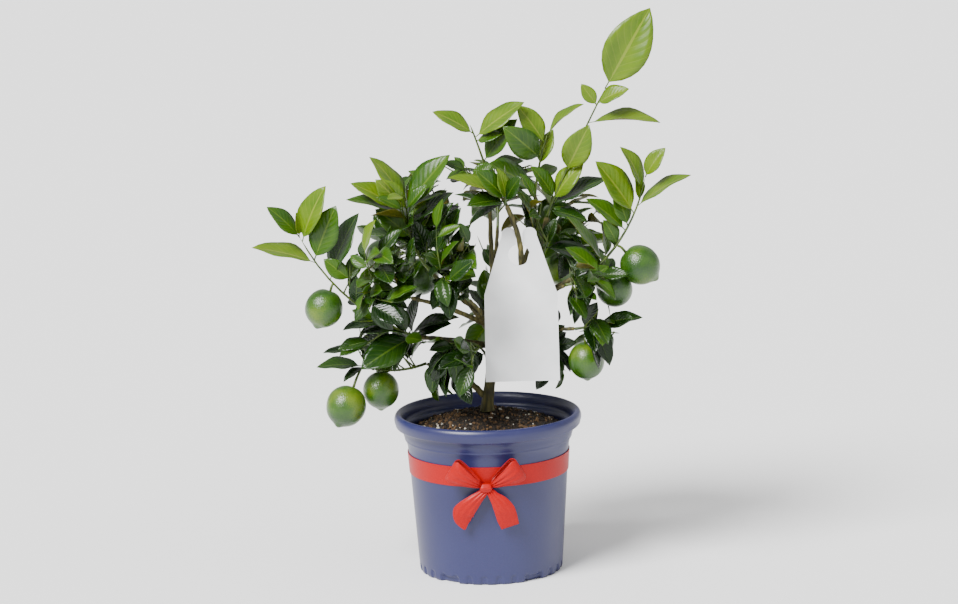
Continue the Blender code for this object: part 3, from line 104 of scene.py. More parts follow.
# The masses of foliage. A stem is turn, lift, length, bow and sway. A twig is its place on the stem,
# turn, lift and length. A leaf is its axis (0 the stem, 1 the first twig), place on it, turn, lift,
# length and roll. A fruit is its axis, place, turn, lift, reach to its middle and radius.
# more: twigs grown by the rule, reach: their length, count: leaves on each, size: their length.
massSizes = dict(
    leaves_left_reach=dict(
        on="bough_left_long", stem=(-171, 23, 138, 41, -7), more=1, reach=42, count=2, size=36,
        twigs=((0.16, -166, -30, 40), (0.54, -43, 57, 16)),
        leaves=(
            (0, 0.99, 180, 45, 39, 55), (0, 0.96, -15, 65, 54, -45), (0, 0.82, -25, 65, 54, -25),
            (0, 0.80, 180, 15, 57, 75), (0, 0.66, 10, 65, 63, -60), (2, 0.95, 180, 40, 29, 10),
            (2, 0.84, 55, 60, 26, -5), (0, 0.44, -75, 70, 27, 0), (0, 0.22, 0, 70, 28, -5),
            (0, 0.22, -160, -5, 38, 75), (0, 0.05, -160, 5, 43, 80), (1, 0.57, -165, -10, 30, 55),
            (1, 0.70, -150, -15, 27, 60), (1, 1.00, 180, 0, 27, 75), (0, 0.01, -155, -25, 56, 35),
            (0, 0.01, -25, 20, 39, -70), (0, 0.02, -25, 60, 39, -65), (0, 0.04, -10, 35, 47, -80),
            (0, 0.06, -155, 70, 29, 5), (0, 0.03, -135, -55, 36, 60), (0, 1.00, 180, 85, 21, 50),
        ),
        fruit=((0, 0.63, -155, -65, 23, 16.2),),
    ),
    leaves_left_low=dict(
        on="bough_low_left", stem=(-168, -18, 57, 39, -3), more=3, reach=42, count=3, size=42,
        leaves=(
            (0, 1.00, -180, 0, 40, 70), (0, 0.97, -155, -30, 23, 65), (0, 0.59, -105, 50, 19, 5),
            (0, 0.80, -140, -40, 26, 5),
        ),
        fruit=((0, 1.00, -137, -58, 38, 17.4), (0, 0.70, -142, -88, 18, 15.8)),
    ),
    leaves_left_middle=dict(
        on="bough_left_middle", stem=(-161, 34, 46, -14, -13), more=2, reach=42, count=3, size=34,
        twigs=((0.17, -101, 78, 33),),
        leaves=(
            (0, 0.27, -160, -15, 30, 55), (0, 0.39, -165, 35, 25, 45), (1, 0.90, -150, 30, 14, 10),
            (0, 0.14, -45, 65, 43, -55), (0, 0.11, 15, 70, 25, -45), (0, 0.96, -65, -70, 18, -10),
        ),
    ),
    leaves_left_upper=dict(
        on="bough_left_upper", stem=(-168, 50, 61, 41, 33), more=2, reach=42, count=3, size=42,
        twigs=((0.10, -81, 58, 28), (0.54, -148, 69, 32)),
        leaves=(
            (0, 1.00, 170, 55, 55, 65), (0, 1.00, 0, 50, 60, -50), (0, 1.00, -160, 45, 39, 10),
            (2, 0.90, -180, 30, 49, 60), (2, 0.84, -175, 15, 49, 75), (0, 0.56, 175, 40, 40, 25),
            (0, 0.49, -170, 15, 44, 80), (0, 0.46, 170, 20, 30, 65), (0, 0.76, -5, 35, 49, -70),
            (0, 0.88, 20, 30, 26, -45), (1, 0.44, -130, 65, 36, 20), (1, 0.69, -30, 50, 25, -5),
        ),
        fruit=((0, 0.46, 148, -22, 35, 15.2),),
    ),
    leaves_left_inner=dict(
        on="bough_left_inner", stem=(-129, 50, 44, 30, -13), more=2, reach=42, count=3, size=42,
        twigs=((1.00, 151, 78, 17),),
        leaves=(
            (1, 0.86, -180, 75, 25, 40), (1, 0.95, -25, 65, 31, -50), (0, 1.00, 0, 60, 33, -50),
            (0, 0.83, -165, 25, 29, 10), (0, 0.32, -155, -25, 21, 10),
        ),
        fruit=((0, 1.00, 69, -9, 21, 13.5),),
    ),
    leaves_front_low=dict(
        on="trunk", at=0.50, stem=(-111, 61, 62, -71, -30), more=2, reach=42, count=3, size=36,
        leaves=(
            (0, 1.00, -170, -50, 35, 75), (0, 1.00, 165, -60, 37, 35), (0, 1.00, -70, -75, 35, -35),
            (0, 1.00, 180, -80, 40, 75), (0, 0.88, -30, -50, 28, -5), (0, 0.96, -155, -5, 24, 50),
        ),
    ),
    leaves_centre=dict(
        on="bough_centre", stem=(276, 86, 34, 21, -12), more=3, reach=42, count=3, size=42,
        leaves=(
            (0, 0.04, -175, 25, 54, 75), (0, 0.04, -155, 0, 37, 60), (0, 0.12, -160, 45, 38, 35),
            (0, 0.10, -150, 75, 29, 45), (0, 0.06, -30, 55, 28, -40), (0, 0.03, -175, -30, 35, 75),
        ),
    ),
    leaves_left_top=dict(
        on="bough_left_top", stem=(168, 14, 21, 44, -32), more=2, reach=30, count=3, size=30,
        leaves=(
            (0, 0.92, -170, 20, 21, 50), (0, 0.72, -145, 0, 13, 15), (0, 1.00, 155, 45, 14, 45),
            (0, 0.53, 0, 30, 22, -25),
        ),
    ),
    leaves_top_left=dict(
        on="bough_top_left", stem=(-139, 71, 56, -2, -22), more=2, reach=42, count=3, size=36,
        leaves=(
            (0, 0.76, -10, 35, 54, -60), (0, 0.82, -180, 30, 41, 60), (0, 0.34, -20, 50, 50, -50),
            (0, 0.22, 0, 10, 34, -60), (0, 0.70, -30, 15, 27, -60),
        ),
    ),
    leaves_top_middle=dict(
        on="bough_top_middle", stem=(-51, 80, 56, -10, 31), more=3, reach=42, count=3, size=36,
        leaves=(
            (0, 0.58, -150, 40, 49, 10), (0, 0.83, 170, 55, 41, 25), (0, 0.96, -10, 40, 43, -80),
            (0, 0.46, 25, 65, 34, -45), (0, 0.04, -150, 30, 60, 65),
        ),
    ),
    leaves_top_right=dict(
        on="bough_right_main", stem=(-22, 67, 123, -5, 24), more=3, reach=42, count=3, size=34,
        leaves=(
            (0, 1.00, -5, 60, 80, -5), (0, 0.88, -20, 25, 32, -50), (0, 0.87, 180, 55, 23, 5),
            (0, 0.73, -10, 0, 63, -80), (0, 0.35, -30, 60, 48, -5), (0, 0.12, -10, 50, 42, -45),
            (0, 0.08, -5, 25, 54, -70), (0, 0.04, -20, -15, 36, -60), (0, 0.13, -160, 55, 37, 45),
            (0, 0.06, 20, -5, 20, -45),
        ),
    ),
    leaves_right_reach=dict(
        on="bough_right_reach", stem=(-12, 46, 87, 31, 35), more=2, reach=42, count=3, size=34,
        leaves=(
            (0, 0.04, -170, 45, 52, 75), (0, 0.08, -180, 85, 33, 60), (0, 0.27, -155, 60, 26, 25),
            (0, 0.43, 175, 40, 44, 55), (0, 0.48, 160, 70, 34, 35), (0, 0.62, -170, 55, 58, 45),
            (0, 0.86, 180, 65, 43, 60), (0, 1.00, -5, 55, 31, -35), (0, 0.69, -5, 30, 55, -80),
            (0, 0.76, 120, 80, 23, 45),
        ),
        fruit=((0, 0.26, -6, -41, 27, 17.0),),
    ),
    leaves_right_middle=dict(
        on="bough_right_middle", stem=(-22, 7, 33, 18, 8), more=2, reach=42, count=3, size=42,
        leaves=(
            (0, 1.00, -5, 5, 25, -35), (0, 1.00, -170, -50, 44, 65), (0, 0.96, 170, 20, 40, 55),
            (0, 0.52, 25, 30, 25, -10), (0, 0.24, 25, 45, 29, -15),
        ),
        fruit=((0, 0.96, 42, -38, 22, 15.6),),
    ),
    leaves_right_inner=dict(
        on="bough_right_inner", stem=(-29, 41, 27, 43, -7), more=2, reach=42, count=3, size=42,
        leaves=(
            (0, 0.55, -20, 5, 45, -35), (0, 0.52, -15, -20, 49, -60), (0, 0.58, -150, 65, 58, 35),
            (0, 0.58, 25, 65, 26, -40),
        ),
    ),
    leaves_right_low=dict(
        on="bough_right_low", stem=(-24, 11, 25, -4, 19), more=2, reach=42, count=3, size=42,
        leaves=(
            (0, 0.78, -5, 10, 40, -70), (0, 1.00, -30, 15, 31, -45), (0, 0.50, -30, -60, 38, -45),
            (0, 0.42, -50, -25, 23, -40), (0, 0.28, -25, 60, 27, -20), (0, 0.34, -85, -65, 42, -70),
        ),
        fruit=((0, 0.31, 64, -84, 30, 15.8),),
    ),
    leaves_right_under=dict(
        on="trunk", at=0.56, stem=(3, 56, 57, -85, -36), more=2, reach=42, count=3, size=36,
        leaves=(
            (0, 1.00, -20, -60, 25, -60), (0, 1.00, -60, -70, 36, -60), (0, 0.92, -15, 10, 23, -10),
            (0, 0.94, 95, -85, 30, 55),
        ),
    ),
    leaves_back_left=dict(
        on="bough_back_left", stem=(140, 36, 60, 20, 0), more=6, reach=55, count=3, size=47,
        fruit=((0, 0.70, 150, -75, 30, 16.0),),
    ),
    leaves_back_right=dict(
        on="bough_back_right", stem=(50, 36, 60, 20, 0), more=6, reach=55, count=3, size=47,
        fruit=((0, 0.70, 40, -75, 30, 16.5),),
    ),
    leaves_back_top=dict(on="bough_back_top", stem=(85, 58, 55, 20, 0), more=6, reach=50, count=3, size=46),
    leaves_back_low=dict(on="bough_back_low", stem=(88, 22, 60, 10, 0), more=6, reach=50, count=3, size=45),
)
stemRadii = (0.0015, 0.0009)
twigRadii = (0.0010, 0.0006)


# Directions and paths

def unit(v):
    return v / np.linalg.norm(v)


def heading(turn, lift):
    # Unit vector: turn is measured from +X towards +Y, lift above the level, in degrees.
    t, l = math.radians(turn), math.radians(lift)
    return np.array([math.cos(l) * math.cos(t), math.cos(l) * math.sin(t), math.sin(l)])


def walk(start, turn, lift, length, bow=0.0, sway=0.0, steps=8):
    # Points of a path whose lift changes by bow and whose turn changes by sway from foot to tip.
    points = [np.array(start, float)]
    for i in range(steps):
        t = (i + 0.5) / steps
        points.append(points[-1] + heading(turn + sway * t, lift + bow * t) * length / steps)
    return np.array(points)


def place(path, share):
    # Point and direction at that share of the path.
    k = share * (len(path) - 1)
    i = min(int(k), len(path) - 2)
    return path[i] + (path[i + 1] - path[i]) * (k - i), unit(path[i + 1] - path[i])


def turned(v, axis, angle):
    # The vector v turned about the unit axis by the angle in degrees.
    a = math.radians(angle)
    return v * math.cos(a) + np.cross(axis, v) * math.sin(a) + axis * np.dot(axis, v) * (1 - math.cos(a))


def pairs(path):
    # The path's segments, as start and end points.
    return np.stack([path[:-1], path[1:]], 1)


def spacing(points, segments):
    # Distance of each point to each segment.
    a, d = segments[:, 0], segments[:, 1] - segments[:, 0]
    q = points[:, None] - a[None]
    t = np.clip((q * d).sum(-1) / (d * d).sum(-1), 0, 1)
    return np.linalg.norm(q - d * t[..., None], axis=-1)


def crossings(segments, triangles):
    # Whether any of the segments passes through any of the triangles.
    if not len(segments) or not len(triangles):
        return False
    a, d = segments[:, 0], segments[:, 1] - segments[:, 0]
    corner, e1, e2 = triangles[:, 0], triangles[:, 1] - triangles[:, 0], triangles[:, 2] - triangles[:, 0]
    h = np.cross(d[:, None], e2[None])
    det = (e1[None] * h).sum(-1)
    fine = np.abs(det) > 1e-14
    inverse = 1 / np.where(fine, det, 1)
    s = a[:, None] - corner[None]
    u = (s * h).sum(-1) * inverse
    q = np.cross(s, e1[None])
    v = (d[:, None] * q).sum(-1) * inverse
    t = (e2[None] * q).sum(-1) * inverse
    return bool((fine & (u >= 0) & (v >= 0) & (u + v <= 1) & (t >= 0) & (t <= 1)).any())


# Limbs and leaves as shapes

def limbFoot(limb, share, turn, lift, radius):
    # Start of a side limb, just clear of the parent's surface, or just past the parent's tip.
    path, foot, tip = limb
    point, along = place(path, share)
    h = heading(turn, lift)
    c = float(np.dot(h, along))
    if share >= 1:
        return point + along * (gap + radius * math.sqrt(max(0.0, 1 - c * c)))
    out = unit(h - along * c)
    return point + out * (foot + (tip - foot) * share + gap + radius * abs(c))


def trunkPath():
    # A short upright piece, so that the cut at the soil is level, and then the leaning trunk.
    low = np.array([0.0, 0.0, soilTop + gap])
    sizes = [trunkSizes[key] for key in ("turn", "lift", "length", "bow", "sway")]
    return np.vstack([[low], walk(low + [0, 0, 0.004], *sizes)])


def allLimbs():
    # Name of each limb to its path and its radius at foot and tip.
    limbs = {"trunk": (trunkPath()[1:], trunkSizes["foot"], trunkSizes["tip"])}
    for name, (parent, share, turn, lift, length, bow, sway, foot, tip) in boughSizes.items():
        start = limbFoot(limbs[parent], share, turn, lift, foot)
        limbs[name] = (walk(start, turn, lift, length, bow, sway), foot, tip)
    return limbs


def midrib(leaf, shares):
    # Point, across and normal at each share of a leaf whose midrib bends evenly away from its face.
    root, along, face, length, width, arch, fold = leaf
    s = np.asarray(shares, float)
    a = math.radians(arch)
    bend = a * s
    mid = root + length * (along * (np.sin(bend) / a)[:, None] - face * ((1 - np.cos(bend)) / a)[:, None])
    normal = face * np.cos(bend)[:, None] + along * np.sin(bend)[:, None]
    return mid, np.cross(along, face), normal


def leafOutline(leaf, shift=0.0):
    # Midrib points and the two edges at the leaf's sections, moved off the blade by shift.
    mid, across, normal = midrib(leaf, leafShares)
    half = leaf[4] * np.array(leafWidths)[:, None] / 2
    f = math.radians(leaf[6])
    lift = normal * shift * np.array([0.3, 1, 1, 0.3])[:, None]
    left = mid + half * (normal * math.sin(f) - across * math.cos(f)) + lift
    right = mid + half * (normal * math.sin(f) + across * math.cos(f)) + lift
    return mid + lift, left, right


def leafSamples(leaf):
    # Points all over the blade, apart from its root.
    mid, left, right = leafOutline(leaf)
    between = [(left[1:2] + left[2:3]) / 2, (right[1:2] + right[2:3]) / 2]
    between += [(left[2:3] + mid[3:]) / 2, (right[2:3] + mid[3:]) / 2]
    return np.concatenate([mid[1:], left[1:3], right[1:3], midrib(leaf, (0.25, 0.55, 0.85))[0]] + between)


def leafTriangles(leaf, shift=0.0):
    # The blade as eight triangles.
    mid, left, right = leafOutline(leaf, shift)
    found = []
    for side in (left, right):
        found += [(mid[0], side[1], mid[1]), (mid[1], side[1], side[2])]
        found += [(mid[1], side[2], mid[2]), (mid[2], side[2], mid[3])]
    return np.array(found)


def thickBlade(leaf):
    # The blade's triangles with a copy at the margin on each side of it.
    return np.concatenate([leafTriangles(leaf, shift) for shift in (-leafMargin, 0, leafMargin)])


def sides(triangles):
    # All edges of the triangles, as segments.
    return np.concatenate([triangles[:, [0, 1]], triangles[:, [1, 2]], triangles[:, [2, 0]]])


# The rule that grows the crown

class Mass:
    # One mass of foliage: its stem and twigs as paths, its leaves and its fruit.

    def __init__(self, name, sizes, limbs):
        self.name = name
        self.sizes = sizes
        turn, lift, length, bow, sway = sizes["stem"]
        foot = limbFoot(limbs[sizes["on"]], sizes.get("at", 1.0), turn, lift, stemRadii[0])
        self.axes = [walk(foot, turn, lift, length * millimetre, bow, sway, 5)]
        for share, turn, lift, length in sizes.get("twigs", ()):
            self.axes.append(walk(place(self.axes[0], share)[0], turn, lift, length * millimetre, steps=3))
        self.fruit = []
        for axis, share, turn, lift, reach, radius in sizes.get("fruit", ()):
            stalk = place(self.axes[axis], share)[0]
            hang = heading(turn, lift)
            self.fruit.append((stalk, hang, stalk + hang * reach * millimetre, radius * millimetre))
        self.leaves = []
        self.blades = []

    def namedLeaf(self, row, nudge):
        # A leaf of the row, with its turn, lift and roll changed by the nudge.
        axis, share, turn, lift, length, roll = row
        chord = heading(turn + nudge[0], lift + nudge[1])
        front = np.array([0.0, -1.0, 0.0])
        face = turned(unit(front - chord * np.dot(front, chord)), chord, roll + nudge[2])
        rng = random.Random(int(share * 100) + turn)
        arch = rng.uniform(*namedRule["arch"])
        half = math.radians(arch / 2)
        along = chord * math.cos(half) + face * math.sin(half)
        up = face * math.cos(half) - chord * math.sin(half)
        size = length * millimetre * half / math.sin(half)
        ratio, fold = rng.uniform(*namedRule["ratio"]), rng.uniform(*namedRule["fold"])
        return place(self.axes[axis], share)[0], along, up, size, size * ratio, arch, fold

    def spine(self):
        # What the mass's own space is measured from: its axes and the midribs of its named leaves.
        found = [pairs(axis) for axis in self.axes]
        for row in self.sizes.get("leaves", ()):
            found.append(pairs(midrib(self.namedLeaf(row, (0, 0, 0)), (0.0, 0.5, 1.0))[0]))
        return np.concatenate(found)

    def add(self, leaf):
        self.leaves.append(leaf)
        self.blades.append(thickBlade(leaf))


class Crown:
    # All masses together, each in its own space.

    def __init__(self):
        self.limbs = allLimbs()
        self.masses = {name: Mass(name, sizes, self.limbs) for name, sizes in massSizes.items()}
        spines = [mass.spine() for mass in self.masses.values()]
        self.spine = np.concatenate(spines)
        self.owner = np.concatenate([np.full(len(s), i) for i, s in enumerate(spines)])
        self.order = {name: i for i, name in enumerate(self.masses)}
        self.fruit = np.array([
            [*middle, radius, i]
            for i, mass in enumerate(self.masses.values())
            for _, _, middle, radius in mass.fruit
        ])
        self.limbSegments = np.concatenate([pairs(path) for path, _, _ in self.limbs.values()])
        self.limbRadii = np.concatenate([np.full(len(p) - 1, foot) for p, foot, _ in self.limbs.values()])
        for mass in self.masses.values():
            for row in mass.sizes.get("leaves", ()):
                self.addNamed(mass, row)
        for mass in self.masses.values():
            self.fill(mass)

    def own(self, points, name):
        # How much further each point is from the other masses' spines and fruit than from its own.
        mine = self.order[name]
        reach = spacing(points, self.spine)
        ball = np.linalg.norm(points[:, None] - self.fruit[None, :, :3], axis=-1) - self.fruit[None, :, 3]
        near = reach[:, self.owner == mine].min(1)
        if (self.fruit[:, 4] == mine).any():
            near = np.minimum(near, ball[:, self.fruit[:, 4] == mine].min(1))
        rest = np.minimum(reach[:, self.owner != mine].min(1), ball[:, self.fruit[:, 4] != mine].min(1))
        return rest - near

    def inCrown(self, points):
        return (np.abs((points - crownCentre) / np.array(crownHalf)) ** 3).sum(-1) < 1

    def blocked(self, points, limbSpace, fruitSpace, lowest):
        # Whether a point is in the tag's space, too low, or too near to a limb or a fruit.
        low, high = np.array(tagKeepOut)
        if ((points > low) & (points < high)).all(-1).any() or (points[:, 2] < lowest).any():
            return True
        if (spacing(points, self.limbSegments) < self.limbRadii + limbSpace).any():
            return True
        reach = np.linalg.norm(points[:, None] - self.fruit[None, :, :3], axis=-1)
        return bool((reach < self.fruit[:, 3] + fruitSpace).any())

    def nearby(self, centre, othersOnly=None):
        # Blades near the point, of all masses or of the others only.
        found = [
            blade
            for mass in self.masses.values() if mass is not othersOnly
            for blade in mass.blades if np.linalg.norm(blade[0, 2] - centre) < fitSpace["bladesWithin"]
        ]
        return np.concatenate(found) if found else np.zeros((0, 3, 3))

    def bladeFits(self, leaf, mass, axis, othersOnly):
        # Whether the blade misses every limb, every other twig and every other blade.
        blade = thickBlade(leaf)
        centre = blade[:8].mean((0, 1))
        twigs = [self.limbSegments]
        for other in self.masses.values():
            if not (othersOnly and other is mass):
                twigs += [pairs(path) for path in other.axes if path is not axis]
        twigs = np.concatenate(twigs)
        twigs = twigs[np.linalg.norm(twigs[:, 0] - centre, axis=1) < fitSpace["twigsWithin"]]
        if crossings(twigs, blade):
            return False
        near = self.nearby(centre, mass if othersOnly else None)
        return not (crossings(sides(blade), near) or crossings(sides(near), blade))

    def addNamed(self, mass, row):
        # Adds a named leaf, turned a little where it would touch something, or skips it.
        axis = mass.axes[row[0]]
        nudges = [(0, 0, 0)]
        for step in namedRule["nudges"]:
            nudges += [(0, 0, step), (0, 0, -step), (step, 0, 0), (-step, 0, 0), (0, step, 0), (0, -step, 0)]
            nudges += [(step, step, 0), (-step, -step, 0), (step, -step, 0), (-step, step, 0)]
        for nudge in nudges:
            leaf = mass.namedLeaf(row, nudge)
            if self.blocked(leafSamples(leaf), *fitSpace["named"]):
                continue
            if self.bladeFits(leaf, mass, axis, True):
                mass.add(leaf)
                return

    def twigFits(self, path, mass):
        fine = np.concatenate([path[1:], (path[1:] + path[:-1]) / 2])
        if self.blocked(fine, *fitSpace["twig"]) or not self.inCrown(path[1:]).all():
            return False
        if (self.own(fine, mass.name) < fitSpace["twigOwn"]).any():
            return False
        return not crossings(pairs(path), self.nearby(path[2]))

    def leafFits(self, leaf, mass, axis):
        points = leafSamples(leaf)
        if self.blocked(points, *fitSpace["leaf"]) or not self.inCrown(points).all():
            return False
        if (self.own(points, mass.name) < fitSpace["leafOwn"]).any():
            return False
        return self.bladeFits(leaf, mass, axis, False)

    def fill(self, mass, seed=1000):
        # Twigs set along the stem by a seeded rule, and leaves set round the stem and each such twig.
        rng = random.Random(seed + len(mass.name))
        grown = [mass.axes[0]]
        for i in range(mass.sizes["more"]):
            base = mass.axes[rng.randrange(len(mass.axes))] if i % 2 else mass.axes[0]
            point, along = place(base, rng.uniform(*growRule["along"]))
            for _ in range(growRule["tries"]):
                out = turned(unit(np.cross(along, [0.01, 0.01, 1.01])), along, rng.uniform(0, 360))
                forward, upward = rng.uniform(*growRule["forward"]), growRule["upward"]
                h = unit(along * forward + out + np.array([0, 0, upward]))
                turn, lift = math.degrees(math.atan2(h[1], h[0])), math.degrees(math.asin(h[2]))
                length = mass.sizes["reach"] * millimetre * rng.uniform(*growRule["twigLength"])
                sway = rng.uniform(-growRule["twigSway"], growRule["twigSway"])
                path = walk(point, turn, lift, length, growRule["twigBow"], sway, 3)
                if self.twigFits(path, mass):
                    mass.axes.append(path)
                    grown.append(path)
                    break
        for path in grown:
            phase = rng.uniform(0, 360)
            count = mass.sizes["count"]
            first = growRule["firstLeaf"]
            for i in range(count + 1):
                share = first + (1 - first) * i / count
                self.growLeaf(mass, rng, path, share, phase + growRule["spiral"] * i)

    def growLeaf(self, mass, rng, path, share, around):
        # Tries a leaf at places round the twig and keeps the first that fits.
        point, along = place(path, share)
        side = unit(np.cross(along, [0.01, 0.01, 1.01]))
        length = mass.sizes["size"] * millimetre * rng.uniform(*growRule["leafLength"])
        arch, fold, ratio = (rng.uniform(*growRule[key]) for key in ("arch", "fold", "ratio"))
        narrowed = 1 if share < growRule["tipFrom"] else growRule["tipSpread"]
        spread = math.radians(rng.uniform(*growRule["spread"]) * narrowed)
        nudge = np.array([rng.uniform(-1, 1) for _ in range(3)])
        outward = unit((point - crownCentre) * np.array([1, 1, 0.3]))
        wish = unit(np.array(growRule["light"])) * 0.35 + outward * 0.45 + np.array([0, 0, 0.5]) + nudge * 0.4
        for attempt in range(growRule["tries"]):
            jitter = rng.uniform(-growRule["jitter"], growRule["jitter"])
            out = turned(side, along, around + growRule["retry"] * attempt + jitter)
            if attempt == growRule["shrinkAt"]:
                length *= growRule["shrink"]
            chord = unit(along * math.cos(spread) + out * math.sin(spread))
            face = wish - chord * np.dot(wish, chord)
            if np.linalg.norm(face) < 0.15:
                face = np.cross(chord, side)
            leaf = (point, chord, unit(face), length, length * ratio, arch, fold)
            if self.leafFits(leaf, mass, path):
                mass.add(leaf)
                return


# Surfaces as meshes

def gridFaces(rows, columns, wrap=False, start=0):
    # quads between neighbouring rows and columns of a grid of points
    i, j = np.meshgrid(np.arange(rows - 1), np.arange(columns if wrap else columns - 1), indexing="ij")
    a, b = i * columns + j, i * columns + (j + 1) % columns
    return start + np.stack([a, b, b + columns, a + columns], -1).reshape(-1, 4)


def capFaces(rows, columns, start=0):
    # quads that close the first and the last ring of a wrapped grid
    k = np.arange(columns // 2 - 1)
    ring = np.stack([k, k + 1, columns - 2 - k, columns - 1 - k], -1)
    return start + np.concatenate([ring, (rows - 1) * columns + ring])


def closedFaces(rows, columns, start=0):
    return np.concatenate([gridFaces(rows, columns, True, start), capFaces(rows, columns, start)])


def meshPiece(name, points, faces, surfaces, uv=None, which=None, ride=True):
    # one smooth object from points, faces, an optional UV for each point and material number for each face
    mesh = bpy.data.meshes.new(name)
    mesh.vertices.add(len(points))
    mesh.vertices.foreach_set("co", np.asarray(points, np.float32).ravel())
    mesh.loops.add(faces.size)
    mesh.loops.foreach_set("vertex_index", faces.astype(np.int32).ravel())
    mesh.polygons.add(len(faces))
    mesh.polygons.foreach_set("loop_start", np.arange(len(faces), dtype=np.int32) * faces.shape[1])
    mesh.polygons.foreach_set("use_smooth", np.ones(len(faces), bool))
    for surface in surfaces:
        mesh.materials.append(surface)
    if which is not None:
        mesh.polygons.foreach_set("material_index", np.asarray(which, np.int32))
    if uv is not None:
        corners = np.asarray(uv, np.float32)[faces.ravel()]
        mesh.uv_layers.new(name="place").data.foreach_set("uv", corners.ravel())
    mesh.update(calc_edges=True)
    mesh.validate()
    piece = bpy.data.objects.new(name, mesh)
    bpy.context.scene.collection.objects.link(piece)
    if ride:
        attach(piece, "root")
    return piece


def faceOut(piece, fill=False):
    # turns a closed mesh's faces outwards, after its holes are filled where it still has them
    bm = bmesh.new()
    bm.from_mesh(piece.data)
    if fill:
        bmesh.ops.holes_fill(bm, edges=bm.edges)
    bmesh.ops.recalc_face_normals(bm, faces=bm.faces)
    bm.to_mesh(piece.data)
    bm.free()


def ripple(points, size, seed=0.0):
    # smooth noise from -1 to 1 at each point: a sum of sines along seven seeded directions
    rng = np.random.default_rng(int(seed * 10) + 3)
    total = np.zeros(len(points))
    for _ in range(7):
        direction = rng.normal(size=3)
        direction /= np.linalg.norm(direction)
        turns = points @ direction * (2 * math.pi / size)
        total += np.sin(turns * rng.uniform(0.7, 1.6) + rng.uniform(0, 6.3))
    return total / 3.2


def ringAngles(count):
    return np.linspace(0, 2 * math.pi, count, endpoint=False)


def turnedGrid(profile, columns):
    # a profile of radius and height carried round the upright axis
    angle = ringAngles(columns)
    r, z = profile[:, 0][:, None], profile[:, 1][:, None]
    return np.stack([r * np.cos(angle), r * np.sin(angle), z + 0 * angle], -1), angle


def smoothPath(path, count):
    # points of a Catmull-Rom curve through the path
    path = np.asarray(path)
    padded = np.vstack([2 * path[0] - path[1], path, 2 * path[-1] - path[-2]])
    t = np.linspace(0, len(path) - 1 - 1e-9, count)
    i = t.astype(int)
    f = (t - i)[:, None]
    a, b, c, d = padded[i], padded[i + 1], padded[i + 2], padded[i + 3]
    square, cube = 2 * a - 5 * b + 4 * c - d, 3 * b - a - 3 * c + d
    return 0.5 * (2 * b + (c - a) * f + square * f ** 2 + cube * f ** 3)


# Materials

def nodeMaterial(name, roughness):
    made = bpy.data.materials.new(name)
    made.use_nodes = True
    shader = made.node_tree.nodes["Principled BSDF"]
    shader.inputs["Roughness"].default_value = roughness
    return made, made.node_tree, shader


def setInput(tree, socket, value):
    if isinstance(value, bpy.types.NodeSocket):
        tree.links.new(value, socket)
    else:
        socket.default_value = value


def addNode(tree, kind, inputs=None, **settings):
    node = tree.nodes.new(kind)
    for key, value in settings.items():
        setattr(node, key, value)
    for key, value in (inputs or {}).items():
        setInput(tree, node.inputs[key], value)
    return node


def ramp(tree, factor, stops):
    # colour ramp from stops of place and colour
    node = addNode(tree, "ShaderNodeValToRGB", {"Fac": factor})
    while len(node.color_ramp.elements) < len(stops):
        node.color_ramp.elements.new(0.5)
    for element, (at, colour) in zip(node.color_ramp.elements, stops):
        element.position = at
        element.color = (*colour, 1)
    return node.outputs["Color"]


def objectPlace(tree):
    return addNode(tree, "ShaderNodeTexCoord").outputs["Object"]


def objectNoise(tree, scale, detail=3.0, stretch=(1, 1, 1)):
    # noise on Object coordinates, stretched along the axes
    moved = addNode(tree, "ShaderNodeMapping", {"Vector": objectPlace(tree), "Scale": stretch})
    inputs = {"Vector": moved.outputs["Vector"], "Scale": scale, "Detail": detail}
    return addNode(tree, "ShaderNodeTexNoise", inputs).outputs["Fac"]


def bump(tree, shader, height, strength, distance):
    made = addNode(tree, "ShaderNodeBump", {"Height": height, "Strength": strength, "Distance": distance})
    tree.links.new(made.outputs["Normal"], shader.inputs["Normal"])


def mathNode(tree, operation, a, b=0.0):
    # one Math node on two values or sockets
    return addNode(tree, "ShaderNodeMath", {0: a, 1: b}, operation=operation).outputs[0]


def grained(name, stops, grain, roughness, relief, patches=None, share=1.0, fine=None, pores=None,
            extra=None):
    # base colour from a ramp on the grain and wide patches; relief from the grain, a finer one or pores
    made, tree, shader = nodeMaterial(name, roughness)
    near = objectNoise(tree, *grain)
    factor = near
    if patches:
        wide = mathNode(tree, "MULTIPLY", objectNoise(tree, *patches), 1 - share)
        factor = mathNode(tree, "ADD", mathNode(tree, "MULTIPLY", near, share), wide)
    tree.links.new(ramp(tree, factor, stops), shader.inputs["Base Color"])
    if fine:
        near = objectNoise(tree, *fine)
    if pores:
        cells = addNode(tree, "ShaderNodeTexVoronoi", {"Vector": objectPlace(tree), "Scale": pores})
        near = cells.outputs["Distance"]
    bump(tree, shader, near, *relief)
    for key, value in (extra or {}).items():
        shader.inputs[key].default_value = value
    return made


# Leaves

